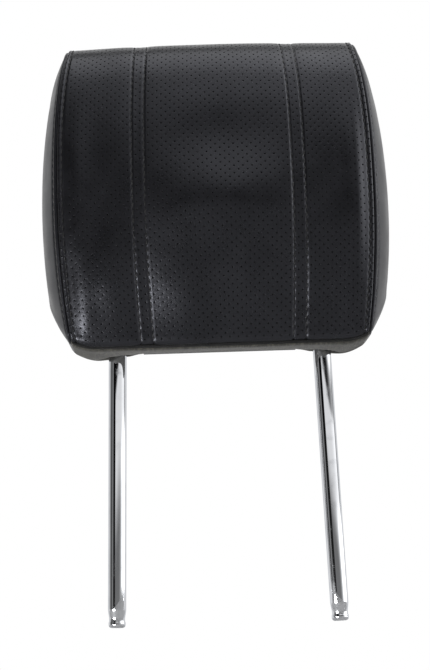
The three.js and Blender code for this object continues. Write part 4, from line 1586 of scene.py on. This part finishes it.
@dataclass
class Studio:
    """Floor, backdrop, light and camera.

    A lamp is a name, a place, a size and watts. A lobe of the world's light is a direction, a level
    and a power; the first of them shine over the shelf. Edges in the world are pairs of heights,
    as the upward share of the direction, between which the light changes.
    """

    elevation: float = -8.0
    azimuth: float = -0.75
    roll: float = 1.9
    distance: float = 1.3
    target: Place = (-0.00298, 0.0, 0.0149)
    scale: float = 0.7111
    image_height: int = 670
    sensor: float = 36.0
    floor_height: float = -0.30
    floor_reach: float = 5000.0
    floor_bend: Pair = (1500.0, 900.0)
    lamps_aim: Place = (0.0, 0.0, 0.08)
    lamps: tuple = (
        ("overhead_box", (0.0, -0.15, 1.5), (1.2, 0.9), 5.6),
        ("left_box", (-1.3, -0.7, 0.35), (0.5, 1.3), 0.5),
        ("low_left_box", (-0.62, -0.68, -0.253), (0.35, 0.09), 4.6),
    )
    lobes: tuple = (
        ((1.0, 0.0, 0.0), 2.8, 6.0),
        ((0.75, 0.0, 0.66), 2.3, 6.0),
        ((0.05, -0.68, 0.73), 1.2, 20.0),
        ((-0.86, 0.5, 0.08), 0.7, 8.0),
    )
    lobes_over_shelf: int = 2
    room: float = 0.015
    shelf_foot: Pair = (0.045, 0.075)
    shelf_top: Pair = (0.13, 0.17)
    shelf_share: float = 0.85
    window_aim: Place = (0.6, -0.8, 0.0)
    window_side: Pair = (0.44, 0.54)
    window_foot: Pair = (0.02, 0.08)
    window_top: Pair = (0.112, 0.122)

    def camera(self) -> None:
        """The photograph's view: from below, a little left of the middle, and rolled."""
        az, el, roll = (math.radians(v) for v in (self.azimuth, self.elevation, self.roll))
        away = Vector((math.sin(az) * math.cos(el), -math.cos(az) * math.cos(el), math.sin(el)))
        right = (-away).cross(Vector((0, 0, 1))).normalized()
        up = right.cross(-away)
        image_right = right * math.cos(roll) - up * math.sin(roll)
        image_up = right * math.sin(roll) + up * math.cos(roll)
        data = bpy.data.cameras.new("photo_camera")
        data.sensor_fit = "VERTICAL"
        data.sensor_height = self.sensor
        data.lens = self.distance * self.sensor / (self.image_height * self.scale * MM)
        data.clip_end = 60.0
        camera = bpy.data.objects.new("photo_camera", data)
        turn = Matrix((image_right, image_up, away)).transposed().to_4x4()
        camera.matrix_world = Matrix.Translation(Vector(self.target) + away * self.distance) @ turn
        bpy.context.scene.collection.objects.link(camera)
        bpy.context.scene.camera = camera

    def lights(self) -> None:
        """Soft boxes that look at the object: a large one overhead and two weak ones at the left."""
        for name, place, size, watts in self.lamps:
            data = bpy.data.lights.new(name, "AREA")
            data.shape = "RECTANGLE"
            data.size, data.size_y = size
            data.energy = watts
            lamp = bpy.data.objects.new(name, data)
            lamp.location = place
            aim = Vector(self.lamps_aim) - Vector(place)
            lamp.rotation_euler = aim.to_track_quat("-Z", "Y").to_euler()
            bpy.context.scene.collection.objects.link(lamp)

    def paper(self) -> bpy.types.Object:
        """The floor, which bends up behind the object on a quarter circle and runs on upright.

        Returns:
            The floor.
        """
        start, radius = self.floor_bend
        angle = np.radians(np.arange(10, 91, 10))
        run = np.concatenate([[-self.floor_reach, start], start + radius * np.sin(angle)])
        rise = np.concatenate([[0.0, 0.0], radius * (1 - np.cos(angle))])
        run, rise = np.append(run, run[-1]), np.append(rise, self.floor_reach)
        across = np.tile([-self.floor_reach, self.floor_reach], len(run))
        points = np.stack([across, np.repeat(run, 2), np.repeat(rise + self.floor_height / MM, 2)], -1)
        return lift_object("studio_paper", points, [grid_faces(np.arange(len(points)).reshape(-1, 2))])

    def backdrop(self) -> None:
        """A pale floor that curves up behind the object, white to the camera."""
        material, n, shader = start_material("pale_paper")
        shader.inputs["Base Color"].default_value = (0.62, 0.62, 0.62, 1.0)
        shader.inputs["Roughness"].default_value = 0.9
        floor = self.paper()
        floor.data.materials.append(material)
        where = n.place()
        far = n.add("ShaderNodeVectorMath", {0: where}, operation="LENGTH").outputs["Value"]
        behind = n.add("ShaderNodeSeparateXYZ", {0: where}).outputs["Y"]
        path = n.add("ShaderNodeLightPath").outputs
        direct = n.math("MULTIPLY", path["Is Camera Ray"], n.ramp(far, 0.6, 1.2, 0.25, 1.0))
        mirrored = n.math("MAXIMUM", path["Is Glossy Ray"], path["Is Transmission Ray"])
        mirrored = n.math("MULTIPLY", mirrored, n.ramp(behind, -0.1, 0.9))
        share = n.math("MAXIMUM", direct, mirrored)
        glow = n.add("ShaderNodeEmission", {"Color": (1.0, 1.0, 1.0, 1.0), "Strength": 1.0})
        lit = n.add("ShaderNodeMixShader", {0: share, 1: shader.outputs[0], 2: glow.outputs[0]})
        end = next(x for x in material.node_tree.nodes if x.type == "OUTPUT_MATERIAL")
        n.link(lit.outputs[0], end.inputs["Surface"])

    def world(self) -> None:
        """Soft surroundings: bright at the right and above it, dim in front, white to the camera.

        The strength is a sum of lobes, each level * max(0, cosine to its direction)^power, over a
        dim room, with a dark shelf at the right. A pale window lies low in front, with a soft lower
        edge, for the rod to reflect.
        """
        world = bpy.data.worlds.new("studio_room")
        bpy.context.scene.world = world
        world.use_nodes = True
        n = Nodes(world.node_tree)
        back = next(x for x in world.node_tree.nodes if x.type == "BACKGROUND")
        toward = n.add("ShaderNodeTexCoord").outputs["Generated"]
        height = n.add("ShaderNodeSeparateXYZ", {0: toward}).outputs["Z"]
        under_top = n.ramp(height, *self.shelf_top, 1.0, 0.0)
        shelf = n.math("MULTIPLY", n.ramp(height, *self.shelf_foot), under_top)
        past_shelf = n.math("SUBTRACT", 1.0, n.math("MULTIPLY", shelf, self.shelf_share))
        room = self.room
        for count, (direction, level, power) in enumerate(self.lobes, 1):
            lobe = n.math("POWER", n.facing(toward, direction), power)
            room = n.math("ADD", room, n.math("MULTIPLY", lobe, level))
            if count == self.lobes_over_shelf:
                room = n.math("MULTIPLY", room, past_shelf)
        window = n.ramp(n.facing(toward, self.window_aim), *self.window_side)
        window = n.math("MULTIPLY", window, n.ramp(height, *self.window_foot, 0.2, 1.0))
        window = n.math("MULTIPLY", window, n.ramp(height, *self.window_top, 1.0, 0.0))
        room = n.math("ADD", room, window)
        seen = n.add("ShaderNodeLightPath").outputs["Is Camera Ray"]
        grey = n.add("ShaderNodeCombineXYZ", {0: room, 1: room, 2: room}).outputs[0]
        n.link(n.mix(seen, grey, (1, 1, 1, 1)), back.inputs["Color"])
        back.inputs["Strength"].default_value = 1.0

    def build(self) -> None:
        """Sets up everything around the object."""
        self.camera()
        self.lights()
        self.backdrop()
        self.world()
        bpy.context.scene.view_settings.view_transform = "Standard"


def main() -> None:
    """Builds the headrest's sub-assemblies in order."""
    logging.basicConfig(level=logging.INFO, format="%(message)s")
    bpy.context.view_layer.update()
    wardrobe = Wardrobe()
    wardrobe.build()
    form = HeadForm()
    LeatherCover(form, wardrobe).build()
    FabricBase(form, wardrobe).build()
    ChromeRod(wardrobe).build()
    InnerParts(wardrobe).build()
    Studio().build()


if __name__ == "__main__":
    main()
